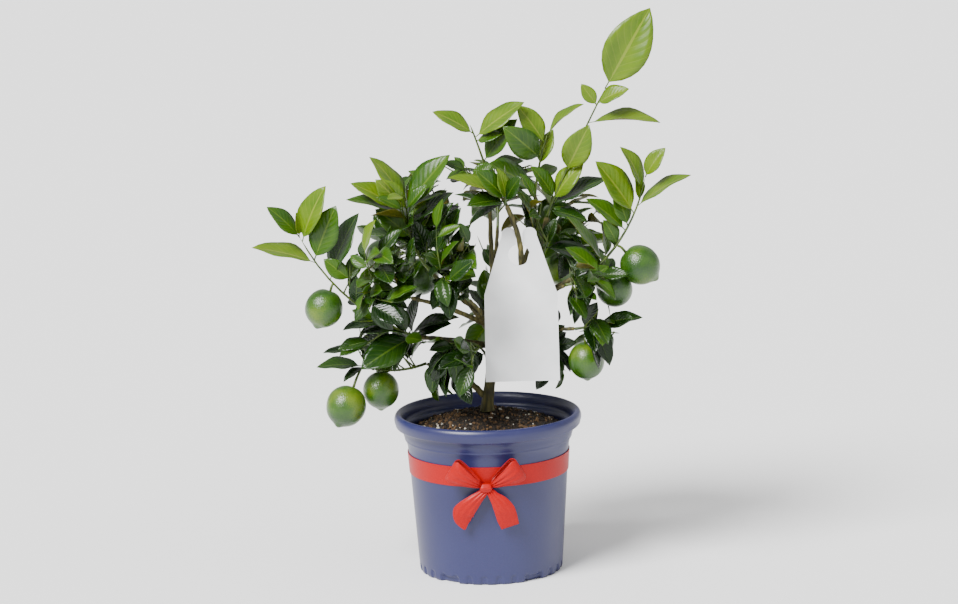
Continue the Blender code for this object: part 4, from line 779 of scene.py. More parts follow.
# The kinds of leaf run from young and light at the outer tips to dark deep inside the crown: partly the
# leaves' age, partly painted light on the high leaves and painted shade inside the crown.
leafColours = {  # dark, light, veins and roughness of each kind of leaf, and of the young leaves' underside
    "young": ((0.0538, 0.121, 0.0011), (0.1052, 0.1747, 0.002), (0.1549, 0.2083, 0.0168), 0.34),
    "fresh": ((0.0151, 0.0571, 0.0008), (0.0392, 0.0974, 0.0012), (0.0742, 0.1344, 0.0077), 0.30),
    "grown": ((0.0041, 0.0235, 0.0008), (0.0148, 0.0454, 0.0013), (0.0357, 0.0739, 0.0048), 0.26),
    # the darkest kind, for leaves deep inside the crown: older leaves, darkened further as painted shade
    "dark": ((0.0012, 0.0087, 0.0007), (0.0051, 0.0202, 0.0012), (0.016, 0.037, 0.0035), 0.22),
    "under": ((0.0503, 0.0638, 0.0014), (0.1008, 0.0871, 0.0016), (0.1344, 0.1252, 0.0077), 0.50),
}
leafVeins = {"rib": 0.030, "pairs": 9.0, "slant": 5.0, "side": 0.045, "sideShare": 0.45, "shine": 0.32}
leafShape = {  # petiole and margin are shares of the length, and the rest metres, counts or powers
    "along": 12, "across": 6, "petiole": 0.10, "petioleHalf": 0.0006, "tipHalf": 0.00008, "round": 0.86,
    "margin": 0.018, "waves": (9, 15), "thick": 0.0005, "edge": 0.00008,
}
# The rise lifts high leaves to a lighter kind as painted light, and leaves near the crown's middle fall to
# the dark kind as painted shade.
leafPlace = {  # how far out from the crown's middle each kind starts, with a spray
    "middle": (0.0, 0.0, 0.25), "half": (0.16, 0.13, 0.14), "rise": 0.25, "riseOver": 0.1, "spray": 0.35,
    "young": 1.45, "fresh": 1.02, "grown": 0.62,
}


def leafMaterial(name, dark, light, vein, roughness):
    # the colour varies by noise, and midrib and side veins follow the UV: u along, v across from 0 to 1
    made, tree, shader = nodeMaterial(name, roughness)
    base = ramp(tree, objectNoise(tree, 45.0), [(0.32, dark), (0.68, light)])
    uv = addNode(tree, "ShaderNodeUVMap", uv_map="place").outputs["UV"]
    place = addNode(tree, "ShaderNodeSeparateXYZ", {"Vector": uv})
    across = mathNode(tree, "ABSOLUTE", mathNode(tree, "SUBTRACT", place.outputs["Y"], 0.5))
    rib = mathNode(tree, "LESS_THAN", across, leafVeins["rib"])
    along = mathNode(tree, "MULTIPLY", place.outputs["X"], leafVeins["pairs"])
    slanted = mathNode(tree, "SUBTRACT", along, mathNode(tree, "MULTIPLY", across, leafVeins["slant"]))
    wave = mathNode(tree, "ABSOLUTE", mathNode(tree, "SUBTRACT", mathNode(tree, "FRACT", slanted), 0.5))
    side = mathNode(tree, "LESS_THAN", wave, leafVeins["side"])
    side = mathNode(tree, "MULTIPLY", side, leafVeins["sideShare"])
    mixed = addNode(tree, "ShaderNodeMix", {0: mathNode(tree, "MAXIMUM", rib, side), 6: base, 7: (*vein, 1)},
                    data_type="RGBA")
    tree.links.new(mixed.outputs[2], shader.inputs["Base Color"])
    shader.inputs["Specular IOR Level"].default_value = leafVeins["shine"]
    swell, groove = mathNode(tree, "MULTIPLY", wave, 1.2), mathNode(tree, "MULTIPLY", rib, -0.6)
    relief = mathNode(tree, "ADD", swell, groove)
    bump(tree, shader, relief, 0.35, 0.0006)
    return made


def leafSurface(leaf, rng):
    # top and underside as one closed grid: u runs from root to tip, v across from edge to edge
    rows, petiole, bluntness = leafShape["along"], leafShape["petiole"], leafShape["round"]
    u = np.linspace(0, 1, rows)
    v = np.linspace(-1, 1, leafShape["across"] + 1)
    length, width, fold = leaf[3], leaf[4], math.radians(leaf[6])
    mid, across, normal = midrib(leaf, u)
    s = np.clip((u - petiole) / (1 - petiole), 0, 1)
    blade = np.sin(math.pi * s ** bluntness) ** bluntness
    half = width / 2 * blade + leafShape["petioleHalf"] * (1 - u) ** 0.5
    half[-1] = leafShape["tipHalf"]
    wide = half[:, None] * v[None]
    ruffle = np.sin(u * rng.uniform(*leafShape["waves"]) + rng.uniform(0, 6))
    wave = leafShape["margin"] * length * ruffle[:, None] * v[None] ** 2
    rise = np.abs(wide) * math.sin(fold) + wave * (half / (width / 2))[:, None]
    sheet = mid[:, None] + across * (wide * math.cos(fold))[..., None] + normal[:, None] * rise[..., None]
    swell = (0.4 + 0.6 * np.sin(math.pi * u) ** 0.5)[:, None]
    body = leafShape["thick"] / 2 * (1 - 0.7 * v[None] ** 2) * swell + leafShape["edge"]
    offset = normal[:, None] * body[..., None]
    ring = np.concatenate([sheet + offset, (sheet - offset)[:, ::-1]], axis=1)
    across = np.concatenate([(v + 1) / 2, (v[::-1] + 1) / 2])
    return ring, np.stack(np.meshgrid(u, across, indexing="ij"), -1)


def leafAgeAndShade(leaf, rng):
    # young at the tips and high up, dark inside: partly the leaves' age, partly painted light on the high
    # leaves and painted shade inside the crown
    tip = leaf[0] + leaf[1] * leaf[3]
    middle, half = np.array(leafPlace["middle"]), np.array(leafPlace["half"])
    high = leafPlace["rise"] * (tip[2] - middle[2]) / leafPlace["riseOver"]
    spray = rng.uniform(-leafPlace["spray"], leafPlace["spray"])
    score = np.linalg.norm((tip - middle) / half) + high + spray
    return next((kind for kind in ("young", "fresh", "grown") if score > leafPlace[kind]), "dark")


def makeLeaves(crown):
    # all leaves of one kind are joined into one piece, with the underside as its second material
    surfaces = {kind: leafMaterial("leaf" + kind.capitalize(), *row) for kind, row in leafColours.items()}
    rng = random.Random(21)
    grouped = {kind: [] for kind in leafColours if kind != "under"}
    for mass in crown.masses.values():
        for leaf in mass.leaves + mass.extra:
            grouped[leafAgeAndShade(leaf, rng)].append(leaf)
    made = []
    for kind, leaves in grouped.items():
        points, uvs, faces, which = [], [], [], []
        for number, leaf in enumerate(leaves):
            ring, uv = leafSurface(leaf, rng)
            rows, columns = ring.shape[:2]
            closed = closedFaces(rows, columns, number * rows * columns)
            closed[-(columns // 2 - 1):] = closed[-(columns // 2 - 1):, ::-1]
            column = np.arange(len(closed)) % columns
            which.append((column >= columns // 2) & (np.arange(len(closed)) < (rows - 1) * columns))
            points.append(ring.reshape(-1, 3))
            uvs.append(uv.reshape(-1, 2))
            faces.append(closed)
        under = surfaces["under"] if kind in ("young", "fresh") else surfaces["fresh"]
        piece = meshPiece("leaves" + kind.capitalize(), np.concatenate(points), np.concatenate(faces),
                          [surfaces[kind], under], np.concatenate(uvs), np.concatenate(which))
        faceOut(piece)
        made.append(piece)
        print("leaves", kind, len(leaves), "triangles", 2 * len(piece.data.polygons))
    return made


# Tubes: trunk, boughs, twigs and stalks

barkLook = {
    "stops": [(0.36, (0.015, 0.0129, 0.0028)), (0.50, (0.055, 0.0498, 0.0082)),
              (0.62, (0.12, 0.0991, 0.0231)), (0.74, (0.21, 0.1786, 0.0564))],
    "grain": (420.0, 5.0, (1, 1, 0.16)), "patches": (70.0, 2.0), "share": 0.65,
    "roughness": 0.75, "relief": (0.7, 0.0008),
}
barkShape = {"sides": 20, "relief": 0.00035, "lump": 0.004, "trunkRings": 60, "boughRings": 48,
             "flareFade": 9, "topShare": 0.6, "sunk": 1.6, "footShare": 1.05}
twigLook = {
    "stops": [(0.35, (0.02, 0.0405, 0.0022)), (0.65, (0.0708, 0.1125, 0.0054))],
    "grain": (120.0, 3.0), "fine": (900.0, 2.0, (1, 1, 0.3)), "roughness": 0.45, "relief": (0.3, 0.0003),
}
twigShape = {"sides": 8, "rings": 12, "sunk": 0.0012, "tipShare": 0.7, "stalkRings": 10,
             "stalkRadii": (0.0010, 0.0013), "stalkRise": 0.0015}


def tubeGrid(path, radii, count):
    # rings round the path; each ring's frame is carried on from the last so that it doesn't twist
    tangent = np.gradient(path, axis=0)
    tangent /= np.linalg.norm(tangent, axis=1)[:, None]
    side = np.cross(tangent[0], [0.3, 0.2, 0.93])
    angle = ringAngles(count)
    rays = []
    for along in tangent:
        side = side - along * np.dot(side, along)
        side /= np.linalg.norm(side)
        rays.append(side * np.cos(angle)[:, None] + np.cross(along, side) * np.sin(angle)[:, None])
    rays = np.array(rays)
    return path[:, None] + rays * np.asarray(radii)[:, None, None], rays


def joinTubes(name, tubes, count, surface, relief=0.0, lump=0.0):
    # tubes with closed ends, joined into one piece, with noise on their radius
    points, faces, uvs, start = [], [], [], 0
    for path, radii in tubes:
        rings, rays = tubeGrid(path, radii, count)
        if relief:
            shift = ripple(rings.reshape(-1, 3) * [1, 1, 0.35], lump).reshape(rings.shape[:2])
            rings = rings + rays * (shift * relief * (radii / radii.max())[:, None])[..., None]
        for end in (0, -1):
            rings[end] = rings[end].mean(0) + (rings[end] - rings[end].mean(0)) * 0.05
        rows = len(rings)
        run, turn = np.meshgrid(np.linspace(0, 1, rows), np.linspace(0, 1, count), indexing="ij")
        uvs.append(np.stack([run, turn], -1).reshape(-1, 2))
        points.append(rings.reshape(-1, 3))
        faces.append(closedFaces(rows, count, start))
        start += rows * count
    piece = meshPiece(name, np.concatenate(points), np.concatenate(faces), [surface], np.concatenate(uvs))
    faceOut(piece)
    return piece


def makeBark(crown):
    tubes = []
    for name, (path, foot, tip) in crown.limbs.items():
        if name == "trunk":
            shares = np.linspace(0, 1, barkShape["trunkRings"])
            flare = trunkSizes["flare"] * np.exp(-shares * barkShape["flareFade"])
            radii = foot + (tip - foot) * shares + flare
            radii[-1] *= barkShape["topShare"]
            path = trunkPath()
        else:
            radii = np.linspace(foot * barkShape["footShare"], tip, barkShape["boughRings"])
            path = np.vstack([[path[0] - unit(path[1] - path[0]) * foot * barkShape["sunk"]], path])
        tubes.append((smoothPath(path, len(radii)), radii))
    piece = joinTubes("bark", tubes, barkShape["sides"], grained("barkOlive", **barkLook),
                      barkShape["relief"], barkShape["lump"])
    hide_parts(*crown.limbs)


def makeTwigs(crown):
    tubes = []
    for mass in crown.masses.values():
        for i, path in enumerate(mass.axes + mass.fine):
            foot, tip = twigRadii if i else stemRadii
            path = np.vstack([path[0] - unit(path[1] - path[0]) * twigShape["sunk"], path])
            radii = np.linspace(foot, tip * twigShape["tipShare"], twigShape["rings"])
            tubes.append((smoothPath(path, len(radii)), radii))
        for stalk, hang, middle, radius in mass.fruit:
            bend = stalk * 0.4 + (middle - hang * radius) * 0.6 + np.array([0, 0, twigShape["stalkRise"]])
            radii = np.linspace(*twigShape["stalkRadii"], twigShape["stalkRings"])
            path = np.array([stalk, bend, middle - hang * radius * 0.9])
            tubes.append((smoothPath(path, len(radii)), radii))
    piece = joinTubes("twigs", tubes, twigShape["sides"], grained("twigGreen", **twigLook))


# Limes

limeLook = {
    "stops": [(0.34, (0.006, 0.036, 0.001)), (0.52, (0.030, 0.088, 0.002)), (0.70, (0.11, 0.17, 0.004))],
    "grain": (900.0, 2.0), "patches": (38.0, 2.0), "share": 0.2, "pores": 900.0, "roughness": 0.30,
    "relief": (0.55, 0.0004), "extra": {"Coat Weight": 0.12, "Coat Roughness": 0.12},
}
limeShape = {"rings": 40, "round": 56, "nipple": 0.13, "nippleWidth": 0.20, "dip": -0.07, "dipWidth": 0.28,
             "long": 1.05, "lump": 0.02, "lumpShare": 0.008}


def makeLimes(crown):
    # a ball whose lower pole is drawn out into a nipple and whose upper pole dips to the stalk
    rows, columns = limeShape["rings"], limeShape["round"]
    t, a = np.meshgrid(np.linspace(0.001, math.pi - 0.001, rows), ringAngles(columns), indexing="ij")
    draw = limeShape["nipple"] * np.exp(-((math.pi - t) / limeShape["nippleWidth"]) ** 2)
    dip = limeShape["dip"] * np.exp(-(t / limeShape["dipWidth"]) ** 2)
    points, faces = [], []
    for mass in crown.masses.values():
        for stalk, hang, middle, radius in mass.fruit:
            r = radius * (1 + draw + dip)
            ball = np.stack([r * np.sin(t) * np.cos(a), r * np.sin(t) * np.sin(a),
                             r * np.cos(t) * limeShape["long"]], -1)
            turn = np.array(Vector((0, 0, -1)).rotation_difference(Vector(hang)).to_matrix())
            ball = ball.reshape(-1, 3) @ turn.T + middle
            lump = ripple(ball, limeShape["lump"], radius * 1000) * radius * limeShape["lumpShare"]
            points.append(ball + (ball - middle) / radius * lump[:, None])
            faces.append(closedFaces(rows, columns, len(faces) * rows * columns))
    skin = grained("limeSkin", **limeLook)
    piece = meshPiece("limes", np.concatenate(points), np.concatenate(faces), [skin])
    faceOut(piece)


# The pot

potSizes = {"height": 0.142, "baseRadius": 0.0635, "neckRadius": 0.0708, "neckHeight": 0.109,
            "rimRadius": 0.0825, "wall": 0.0024, "floor": 0.009, "fine": 0.0011,
            "coarse": 0.0030, "columns": 360}
potFoot = {  # small arches and wider notches pressed into the foot: half widths, heights and depths
    "arches": 30, "archHalf": 0.0031, "archTop": 0.0080, "archDepth": 0.0011,
    "notches": 5, "notchHalf": 0.0095, "notchTop": 0.0060, "notchDepth": 0.0030, "notchTurn": 54,
    "edge": 0.0006,
}
potLook = {
    "stops": [(0.35, (0.013, 0.014, 0.066)), (0.65, (0.021, 0.024, 0.092))],
    "grain": (1100.0, 2.0), "patches": (9.0, 3.0), "share": 0.3, "roughness": 0.36, "relief": (0.12, 0.0003),
}
potInside = ((0.0703, 0.1215), (0.0712, 0.1293), (0.0722, 0.1302), (0.0738, 0.1306), (0.0745, 0.1370),
             (0.0755, 0.1392), (0.0768, 0.1408))
potNeck = ((0.0768, 0.1294), (0.0760, 0.1288), (0.0752, 0.1250), (0.0740, 0.1210), (0.0736, 0.1203),
           (0.0738, 0.1196), (0.0734, 0.1188), (0.0722, 0.1170), (0.0712, 0.1130))


def potRadius(height):
    share = (height - 0.005) / (potSizes["neckHeight"] - 0.005)
    return potSizes["baseRadius"] + (potSizes["neckRadius"] - potSizes["baseRadius"]) * share


def densify(profile, fine, coarse):
    # points along the profile, close together round the foot and wider apart elsewhere
    found = [profile[0]]
    for (r0, z0), (r1, z1) in zip(profile[:-1], profile[1:]):
        foot = min(z0, z1) < 0.008 and max(r0, r1) > 0.060
        count = max(1, int(math.hypot(r1 - r0, z1 - z0) / (fine if foot else coarse)))
        found += [(r0 + (r1 - r0) * k / count, z0 + (z1 - z0) * k / count) for k in range(1, count + 1)]
    return np.array(found)


def potProfile():
    # from the middle of the floor up the inside, over the rolled rim and down the outside to the foot
    keys = ("rimRadius", "height", "floor", "wall", "baseRadius")
    rim, high, floor, wall, base = (potSizes[key] for key in keys)
    inner = [(0.0004, floor), (potRadius(floor) - wall, floor), (potRadius(0.106) - wall, 0.106)]
    roll = [(rim - 0.0036 + 0.0036 * math.cos(a), high - 0.0055 + 0.0055 * math.sin(a))
            for a in np.radians(np.arange(110, -46, -12))]
    under = [(rim - 0.0011, 0.1312), (rim - 0.0018, 0.1302), (rim - 0.0034, 0.1298)]
    outer = [(potSizes["neckRadius"], potSizes["neckHeight"]), (base, 0.0050), (base - 0.0002, 0.0025),
             (base - 0.0008, 0.0008), (base - 0.0018, 0.0), (0.0004, 0.0)]
    rows = inner + list(potInside) + roll + under + list(potNeck) + outer
    return densify(rows, potSizes["fine"], potSizes["coarse"])


def makePot():
    profile = potProfile()
    grid, angle = turnedGrid(profile, potSizes["columns"])
    radius, height, edge = np.hypot(grid[..., 0], grid[..., 1]), grid[..., 2], potFoot["edge"]

    def aside(count, shift=0.0):  # distance round the foot to the nearest of the evenly spaced places
        cell = 2 * math.pi / count
        return np.abs((angle + shift + cell / 2) % cell - cell / 2) * potSizes["baseRadius"]

    arch = np.clip((potFoot["archTop"] - height) / edge, 0, 1)
    lean = np.clip(height - 0.005, 0, 1) / 0.0013
    arch = arch * np.clip((potFoot["archHalf"] - aside(potFoot["arches"]))[None] / edge - lean, 0, 1)
    far = aside(potFoot["notches"], math.radians(potFoot["notchTurn"]))
    notch = np.clip((potFoot["notchHalf"] - far)[None] / 0.0008, 0, 1)
    notch = notch * np.clip((potFoot["notchTop"] - height) / edge, 0, 1)
    outside = np.arange(len(profile)) > np.argmax(profile[:, 0])
    press = np.maximum(arch * potFoot["archDepth"], notch * potFoot["notchDepth"])
    press = press * (outside[:, None] & (radius > 0.050))
    grid[..., :2] *= (1 - press / np.maximum(radius, 1e-6))[..., None]
    plastic = grained("potPlastic", **potLook)
    piece = meshPiece("potShell", grid.reshape(-1, 3), closedFaces(*grid.shape[:2]), [plastic])
    faceOut(piece)
    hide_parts("pot")


# The soil

soilRows = ((0.0003, 0.1412), (0.010, 0.1412), (0.022, 0.1396), (0.036, 0.1362), (0.050, 0.1318),
            (0.061, 0.1282), (0.0679, 0.1240))
soilShape = {"columns": 220, "rings": 80, "large": (0.007, 0.0007), "small": (0.0024, 0.0005), "calm": 0.012}
soilLook = {
    "stops": [(0.36, (0.0036, 0.0024, 0.0018)), (0.55, (0.018, 0.0108, 0.0054)),
              (0.70, (0.06, 0.033, 0.012))],
    "grain": (520.0, 4.0), "roughness": 0.95, "relief": (1.0, 0.0015),
}
crumbKinds = {  # how many, smallest and largest size, dark and light colour
    "crumbsBark": (620, 0.0009, 0.0026, (0.027, 0.0132, 0.0048), (0.132, 0.072, 0.027)),
    "crumbsDark": (900, 0.0008, 0.0022, (0.0036, 0.0024, 0.0018), (0.021, 0.012, 0.006)),
    "crumbsPale": (110, 0.0007, 0.0021, (0.372, 0.33, 0.252), (0.54, 0.528, 0.48)),
}
crumbShape = {"within": 0.0655, "squash": (0.45, 1.2), "rough": 0.18, "rise": 0.0006, "smallPower": 2.2}


def soilHeight(radius):
    return np.interp(radius, *zip(*soilRows))


def plainMaterial(name, dark, light, roughness, scale=500.0, depth=0.0005):
    return grained(name, [(0.3, dark), (0.7, light)], (scale, 3.0), roughness, (0.4, depth))


def makeSoil():
    # a mound whose height falls from the trunk to the wall, with two sizes of lumps
    columns, rings = soilShape["columns"], soilShape["rings"]
    low = potRadius(0.009) - potSizes["wall"] - 0.0004
    radii = np.concatenate([np.linspace(0.0003, 0.0679, rings), [0.0676, low, 0.0003]])
    heights = np.concatenate([soilHeight(radii[:rings]), [0.106, 0.0094, 0.0094]])
    grid = turnedGrid(np.stack([radii, heights], 1), columns)[0]
    top = grid[:rings - 1].reshape(-1, 3) * [1, 1, 0]
    (large, high), (small, slight) = soilShape["large"], soilShape["small"]
    lumps = ripple(top, large, 1) * high + ripple(top, small, 2) * slight
    fade = np.clip(np.hypot(top[:, 0], top[:, 1]) / soilShape["calm"], 0, 1)
    grid[:rings - 1, :, 2] += (lumps * fade).reshape(rings - 1, columns)
    piece = meshPiece("soilMound", grid.reshape(-1, 3), closedFaces(len(radii), columns),
                      [grained("soilDark", **soilLook)])
    faceOut(piece)
    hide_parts("soil")


def makeCrumbs():
    # lumps with twelve corners, squashed and turned at random, lying half in the soil
    g = (1 + 5 ** 0.5) / 2
    corners = np.array([(-1, g, 0), (1, g, 0), (-1, -g, 0), (1, -g, 0), (0, -1, g), (0, 1, g), (0, -1, -g),
                        (0, 1, -g), (g, 0, -1), (g, 0, 1), (-g, 0, -1), (-g, 0, 1)]) / 1.9
    tris = np.array([(0, 11, 5), (0, 5, 1), (0, 1, 7), (0, 7, 10), (0, 10, 11), (1, 5, 9), (5, 11, 4),
                     (11, 10, 2), (10, 7, 6), (7, 1, 8), (3, 9, 4), (3, 4, 2), (3, 2, 6), (3, 6, 8),
                     (3, 8, 9), (4, 9, 5), (2, 4, 11), (6, 2, 10), (8, 6, 7), (9, 8, 1)])
    rng = np.random.default_rng(8)
    for name, (count, small, large, dark, light) in crumbKinds.items():
        angle = rng.uniform(0, 2 * math.pi, count)
        radius = np.sqrt(rng.uniform(0.02, 1, count)) * crumbShape["within"]
        size = small + (large - small) * rng.uniform(0, 1, count) ** crumbShape["smallPower"]
        squash = rng.uniform(*crumbShape["squash"], (count, 1, 3))
        rough = rng.uniform(-crumbShape["rough"], crumbShape["rough"], (count, 12, 1))
        x, y, z = np.moveaxis(corners[None] * squash * size[:, None, None] * (1 + rough), -1, 0)
        spin = rng.uniform(0, 2 * math.pi, count)
        c, s = np.cos(spin)[:, None], np.sin(spin)[:, None]
        shape = np.stack([x * c - y * s, x * s + y * c, z], -1)
        rise = soilHeight(radius) + crumbShape["rise"]
        centre = np.stack([radius * np.cos(angle), radius * np.sin(angle), rise], -1)
        faces = (tris[None] + (np.arange(count) * 12)[:, None, None]).reshape(-1, 3)
        piece = meshPiece(name, (shape + centre[:, None]).reshape(-1, 3), faces,
                          [plainMaterial(name + "Look", dark, light, 0.9)])
        piece.data.polygons.foreach_set("use_smooth", np.zeros(len(piece.data.polygons), bool))


# The ribbon: a band round the pot and a bow with a knot, two loops and two tails

bandSizes = {"bottom": 0.0900, "width": 0.0175, "thick": 0.0006, "clear": 0.0003, "rows": 12, "columns": 300}
knotSizes = {"middle": (-0.0032, -0.0757, 0.0906), "half": (0.0054, 0.0034, 0.0040), "square": 0.55,
             "pinch": 0.06}
loopSizes = {"away": 0.0052, "reach": 0.0300, "puff": 0.0052, "part": 0.0012, "knotHalf": 0.0022,
             "half": 0.0098, "round": 0.42, "cup": 0.0042, "pleat": 0.0007}
tailSizes = {"cup": 0.0016, "pleat": 0.0005, "points": 33}
tailRows = {  # x, y, z and width along each tail, in millimetres
    "Left": ((-3, -75.8, 88.5, 6), (-9, -76.2, 83.5, 9), (-16, -76.2, 77, 14), (-23, -74.5, 69, 19),
             (-24, -72.8, 61, 14), (-22.5, -71.8, 53, 1.5)),
    "Right": ((0, -75.8, 88.0, 6), (3.5, -76.2, 83, 9), (8.5, -76.5, 77, 15), (12.5, -76, 70, 18),
              (14.5, -74.5, 63, 18), (17, -72.8, 55, 16)),
}
satinLook = {
    "stops": [(0.3, (0.30, 0.0004, 0.0004)), (0.7, (0.40, 0.0006, 0.0006))],
    "grain": (2600.0, 1.0, (0.25, 0.25, 1.0)), "roughness": 0.42, "relief": (0.15, 0.0002),
    "extra": {"Specular IOR Level": 0.22},
}


def stripPiece(name, middle, across, cup, pleat, satin, node):
    # a strip along a line of points, with vectors for half width, cupping and pleats at each point
    v = np.linspace(-1, 1, 25)[None, :, None]
    sheet = middle[:, None] + across[:, None] * v + cup[:, None] * (1 - v ** 2)
    sheet = sheet + pleat[:, None] * np.cos(3.5 * math.pi * v)
    piece = meshPiece(name, sheet.reshape(-1, 3), gridFaces(*sheet.shape[:2]), [satin])
    solid = piece.modifiers.new("thickness", "SOLIDIFY")
    solid.thickness = 0.0005
    solid.offset = 0
    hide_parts(node)


def makeLoop(name, side, satin, node):
    # out of the knot, round the far end and back: reach follows sin, puff follows cos
    out = np.array([side * 0.86, 0, 0.50])
    wide = unit(np.array([-side * 0.50, -0.25, 0.86]))
    front = unit(np.cross(wide, out))
    front = front if front[1] < 0 else -front
    angle = np.linspace(0, math.pi, 49)
    s, c = np.sin(angle), np.cos(angle)
    start = np.array(knotSizes["middle"]) + out * loopSizes["away"] + front * 0.0005
    puff = loopSizes["puff"] * c * s ** 0.4 + loopSizes["part"] * c
    middle = start + out * (loopSizes["reach"] * s ** 0.75)[:, None] + front * puff[:, None]
    half = loopSizes["knotHalf"] + loopSizes["half"] * s ** 0.7 * (1 - loopSizes["round"] * s ** 14)
    cup = front * (loopSizes["cup"] * s ** 0.8 * c)[:, None]
    pleat = front * (loopSizes["pleat"] * (1 - s))[:, None]
    stripPiece(name, middle, wide * half[:, None], cup, pleat, satin, node)


def makeTail(name, rows, satin, node):
    # a strip through the rows' places, with their widths, held level across
    rows = np.array(rows, float)
    share = np.linspace(0, 1, tailSizes["points"])
    points = smoothPath(rows[:, :3] * millimetre, tailSizes["points"])
    width = np.interp(share, np.linspace(0, 1, len(rows)), rows[:, 3]) * millimetre
    along = np.gradient(points, axis=0)
    level = np.stack([along[:, 2], 0 * along[:, 0], -along[:, 0]], -1)
    level /= np.linalg.norm(level, axis=1)[:, None]
    front = np.array([0, -1.0, 0])
    cup = front * (tailSizes["cup"] * np.sin(share * math.pi))[:, None]
    pleat = front * (tailSizes["pleat"] * np.linspace(1, 0, tailSizes["points"]) ** 1.5)[:, None]
    stripPiece(name, points, level * width[:, None] / 2, cup, pleat, satin, node)


def makeBand(satin):
    # inner rows going up and outer rows coming down; the last row joins the first
    rows, columns = bandSizes["rows"], bandSizes["columns"]
    levels = np.linspace(bandSizes["bottom"], bandSizes["bottom"] + bandSizes["width"], rows)
    inner = [(potRadius(z) + bandSizes["clear"], z) for z in levels]
    outer = [(r + bandSizes["thick"], z) for r, z in inner[::-1]]
    grid = turnedGrid(np.array(inner + outer), columns)[0]
    faces = gridFaces(2 * rows + 1, columns, True) % (2 * rows * columns)
    piece = meshPiece("ribbonBand", grid.reshape(-1, 3), faces, [satin])
    faceOut(piece)
    piece.data.set_sharp_from_angle(angle=math.radians(50))
    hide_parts("ribbon_band")


def makeKnot(satin):
    # a ball squared by a power, with six pinches round it
    rows, columns = 24, 32

    def squared(x):
        return np.sign(x) * np.abs(x) ** knotSizes["square"]

    t, a = np.meshgrid(np.linspace(0.01, math.pi - 0.01, rows), ringAngles(columns), indexing="ij")
    pinch = 1 + knotSizes["pinch"] * np.cos(6 * a)
    wide, deep, high = knotSizes["half"]
    knot = np.stack([wide * squared(np.cos(t)), deep * squared(np.sin(t)) * np.cos(a) * pinch,
                     high * squared(np.sin(t)) * np.sin(a) * pinch], -1)
    points = knot.reshape(-1, 3) + np.array(knotSizes["middle"])
    piece = meshPiece("bowKnot", points, gridFaces(rows, columns, True), [satin])
    faceOut(piece, fill=True)
    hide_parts("bow_knot")


def makeRibbon():
    satin = grained("satinRed", **satinLook)
    makeBand(satin)
    for hand, side in (("Left", -1), ("Right", 1)):
        makeLoop("bowLoop" + hand, side, satin, "bow_" + hand.lower() + "_loop")
    for hand, rows in tailRows.items():
        makeTail("bowTail" + hand, rows, satin, "bow_" + hand.lower() + "_tail")
    makeKnot(satin)


# The tag keeps the frame's own solid

def dressTag():
    surface = plainMaterial("cardWhite", (0.80, 0.81, 0.82), (0.88, 0.89, 0.90), 0.55, 60.0, 0.0002)
    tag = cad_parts["tag"]
    tag.data.materials.clear()
    tag.data.materials.append(surface)


# More leaves on finer twigs, by the same rule

fullness = {"more": 12, "reach": 40, "count": 4, "size": 35}
spareBox = 0.001


def thicken(crown):
    # each mass gets finer twigs with leaves, in its own space and inside the frame's box
    low, high = np.array(cadBox) + np.array([[-1], [1]]) * spareBox
    for mass in crown.masses.values():
        known, axes = len(mass.leaves), len(mass.axes)
        mass.sizes = dict(mass.sizes, **fullness)
        crown.fill(mass, 5000)
        extra = [(leaf, leafSamples(leaf)) for leaf in mass.leaves[known:]]
        mass.extra = [leaf for leaf, points in extra if (points > low).all() and (points < high).all()]
        mass.leaves = mass.leaves[:known]
        mass.fine, mass.axes = mass.axes[axes:], mass.axes[:axes]
    print("more leaves", sum(len(mass.extra) for mass in crown.masses.values()))


# Floor, light and camera

stageSizes = {"floor": 30.0, "floorTone": 0.92, "world": 0.68}
lights = {  # direction, strength and angular size in degrees
    "key": ((-1.5, -1.7, 2.3), 7.4, 28),
    "fill": ((2.0, -1.5, 1.2), 0.5, 60),
}
cameraSizes = {"distance": 3.0, "pitch": 10.85, "roll": 1.45, "target": (-0.0052, 0, 0.2395),
               "perPixel": 0.000876, "width": 958, "sensor": 36}


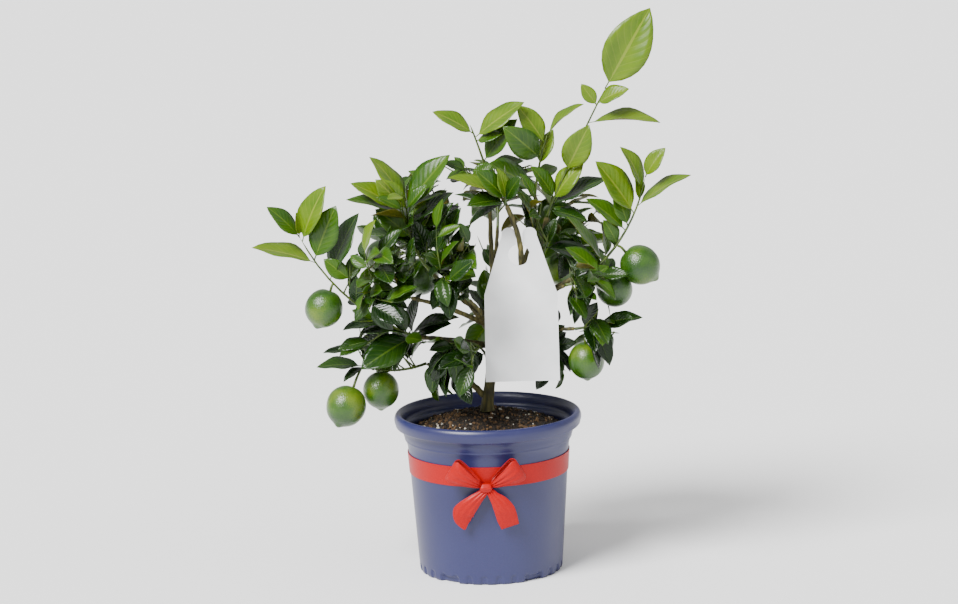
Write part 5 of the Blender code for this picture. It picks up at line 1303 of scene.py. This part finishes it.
def makeStage():
    size, tone = stageSizes["floor"], stageSizes["floorTone"]
    made, tree, shader = nodeMaterial("paleFloor", 0.9)
    shader.inputs["Base Color"].default_value = (tone, tone, tone, 1)
    corners = np.array([(-size, -size, 0), (size, -size, 0), (size, size, 0), (-size, size, 0)])
    floor = meshPiece("floor", corners, np.array([[0, 1, 2, 3]]), [made], ride=False)
    world = bpy.data.worlds.new("studio")
    bpy.context.scene.world = world
    world.use_nodes = True
    background = world.node_tree.nodes["Background"]
    background.inputs["Color"].default_value = (1, 1, 1, 1)
    background.inputs["Strength"].default_value = stageSizes["world"]
    for name, (place, strength, spread) in lights.items():
        light = bpy.data.lights.new(name, "SUN")
        light.energy = strength
        light.angle = math.radians(spread)
        lamp = bpy.data.objects.new(name, light)
        bpy.context.scene.collection.objects.link(lamp)
        lamp.location = place
        lamp.rotation_euler = (-Vector(place)).to_track_quat("-Z", "Y").to_euler()


def makeCamera():
    # looks down from the front, rolled a little, with the lens from the size of a pixel at the tree
    pitch, roll = math.radians(cameraSizes["pitch"]), math.radians(cameraSizes["roll"])
    back = Vector((0, -math.cos(pitch), math.sin(pitch)))
    right, up = Vector((1, 0, 0)), back.cross(Vector((1, 0, 0)))
    right, up = right * math.cos(roll) - up * math.sin(roll), up * math.cos(roll) + right * math.sin(roll)
    data = bpy.data.cameras.new("camera")
    data.sensor_width = cameraSizes["sensor"]
    across = cameraSizes["perPixel"] * cameraSizes["width"]
    data.lens = cameraSizes["sensor"] * cameraSizes["distance"] / across
    camera = bpy.data.objects.new("camera", data)
    bpy.context.scene.collection.objects.link(camera)
    place = Vector(cameraSizes["target"]) + back * cameraSizes["distance"]
    camera.matrix_world = Matrix.Translation(place) @ Matrix((right, up, back)).transposed().to_4x4()
    bpy.context.scene.camera = camera


makeCamera()
makeStage()
crown = Crown()
print("crown grown", sum(len(mass.leaves) for mass in crown.masses.values()))
thicken(crown)
leafPieces = makeLeaves(crown)
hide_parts(*crown.masses)
makeTwigs(crown)
makeLimes(crown)
makeBark(crown)
print("tree made")
makePot()
makeSoil()
makeCrumbs()
makeRibbon()
dressTag()
print("pot, soil, ribbon and tag made")
bpy.context.view_layer.update()
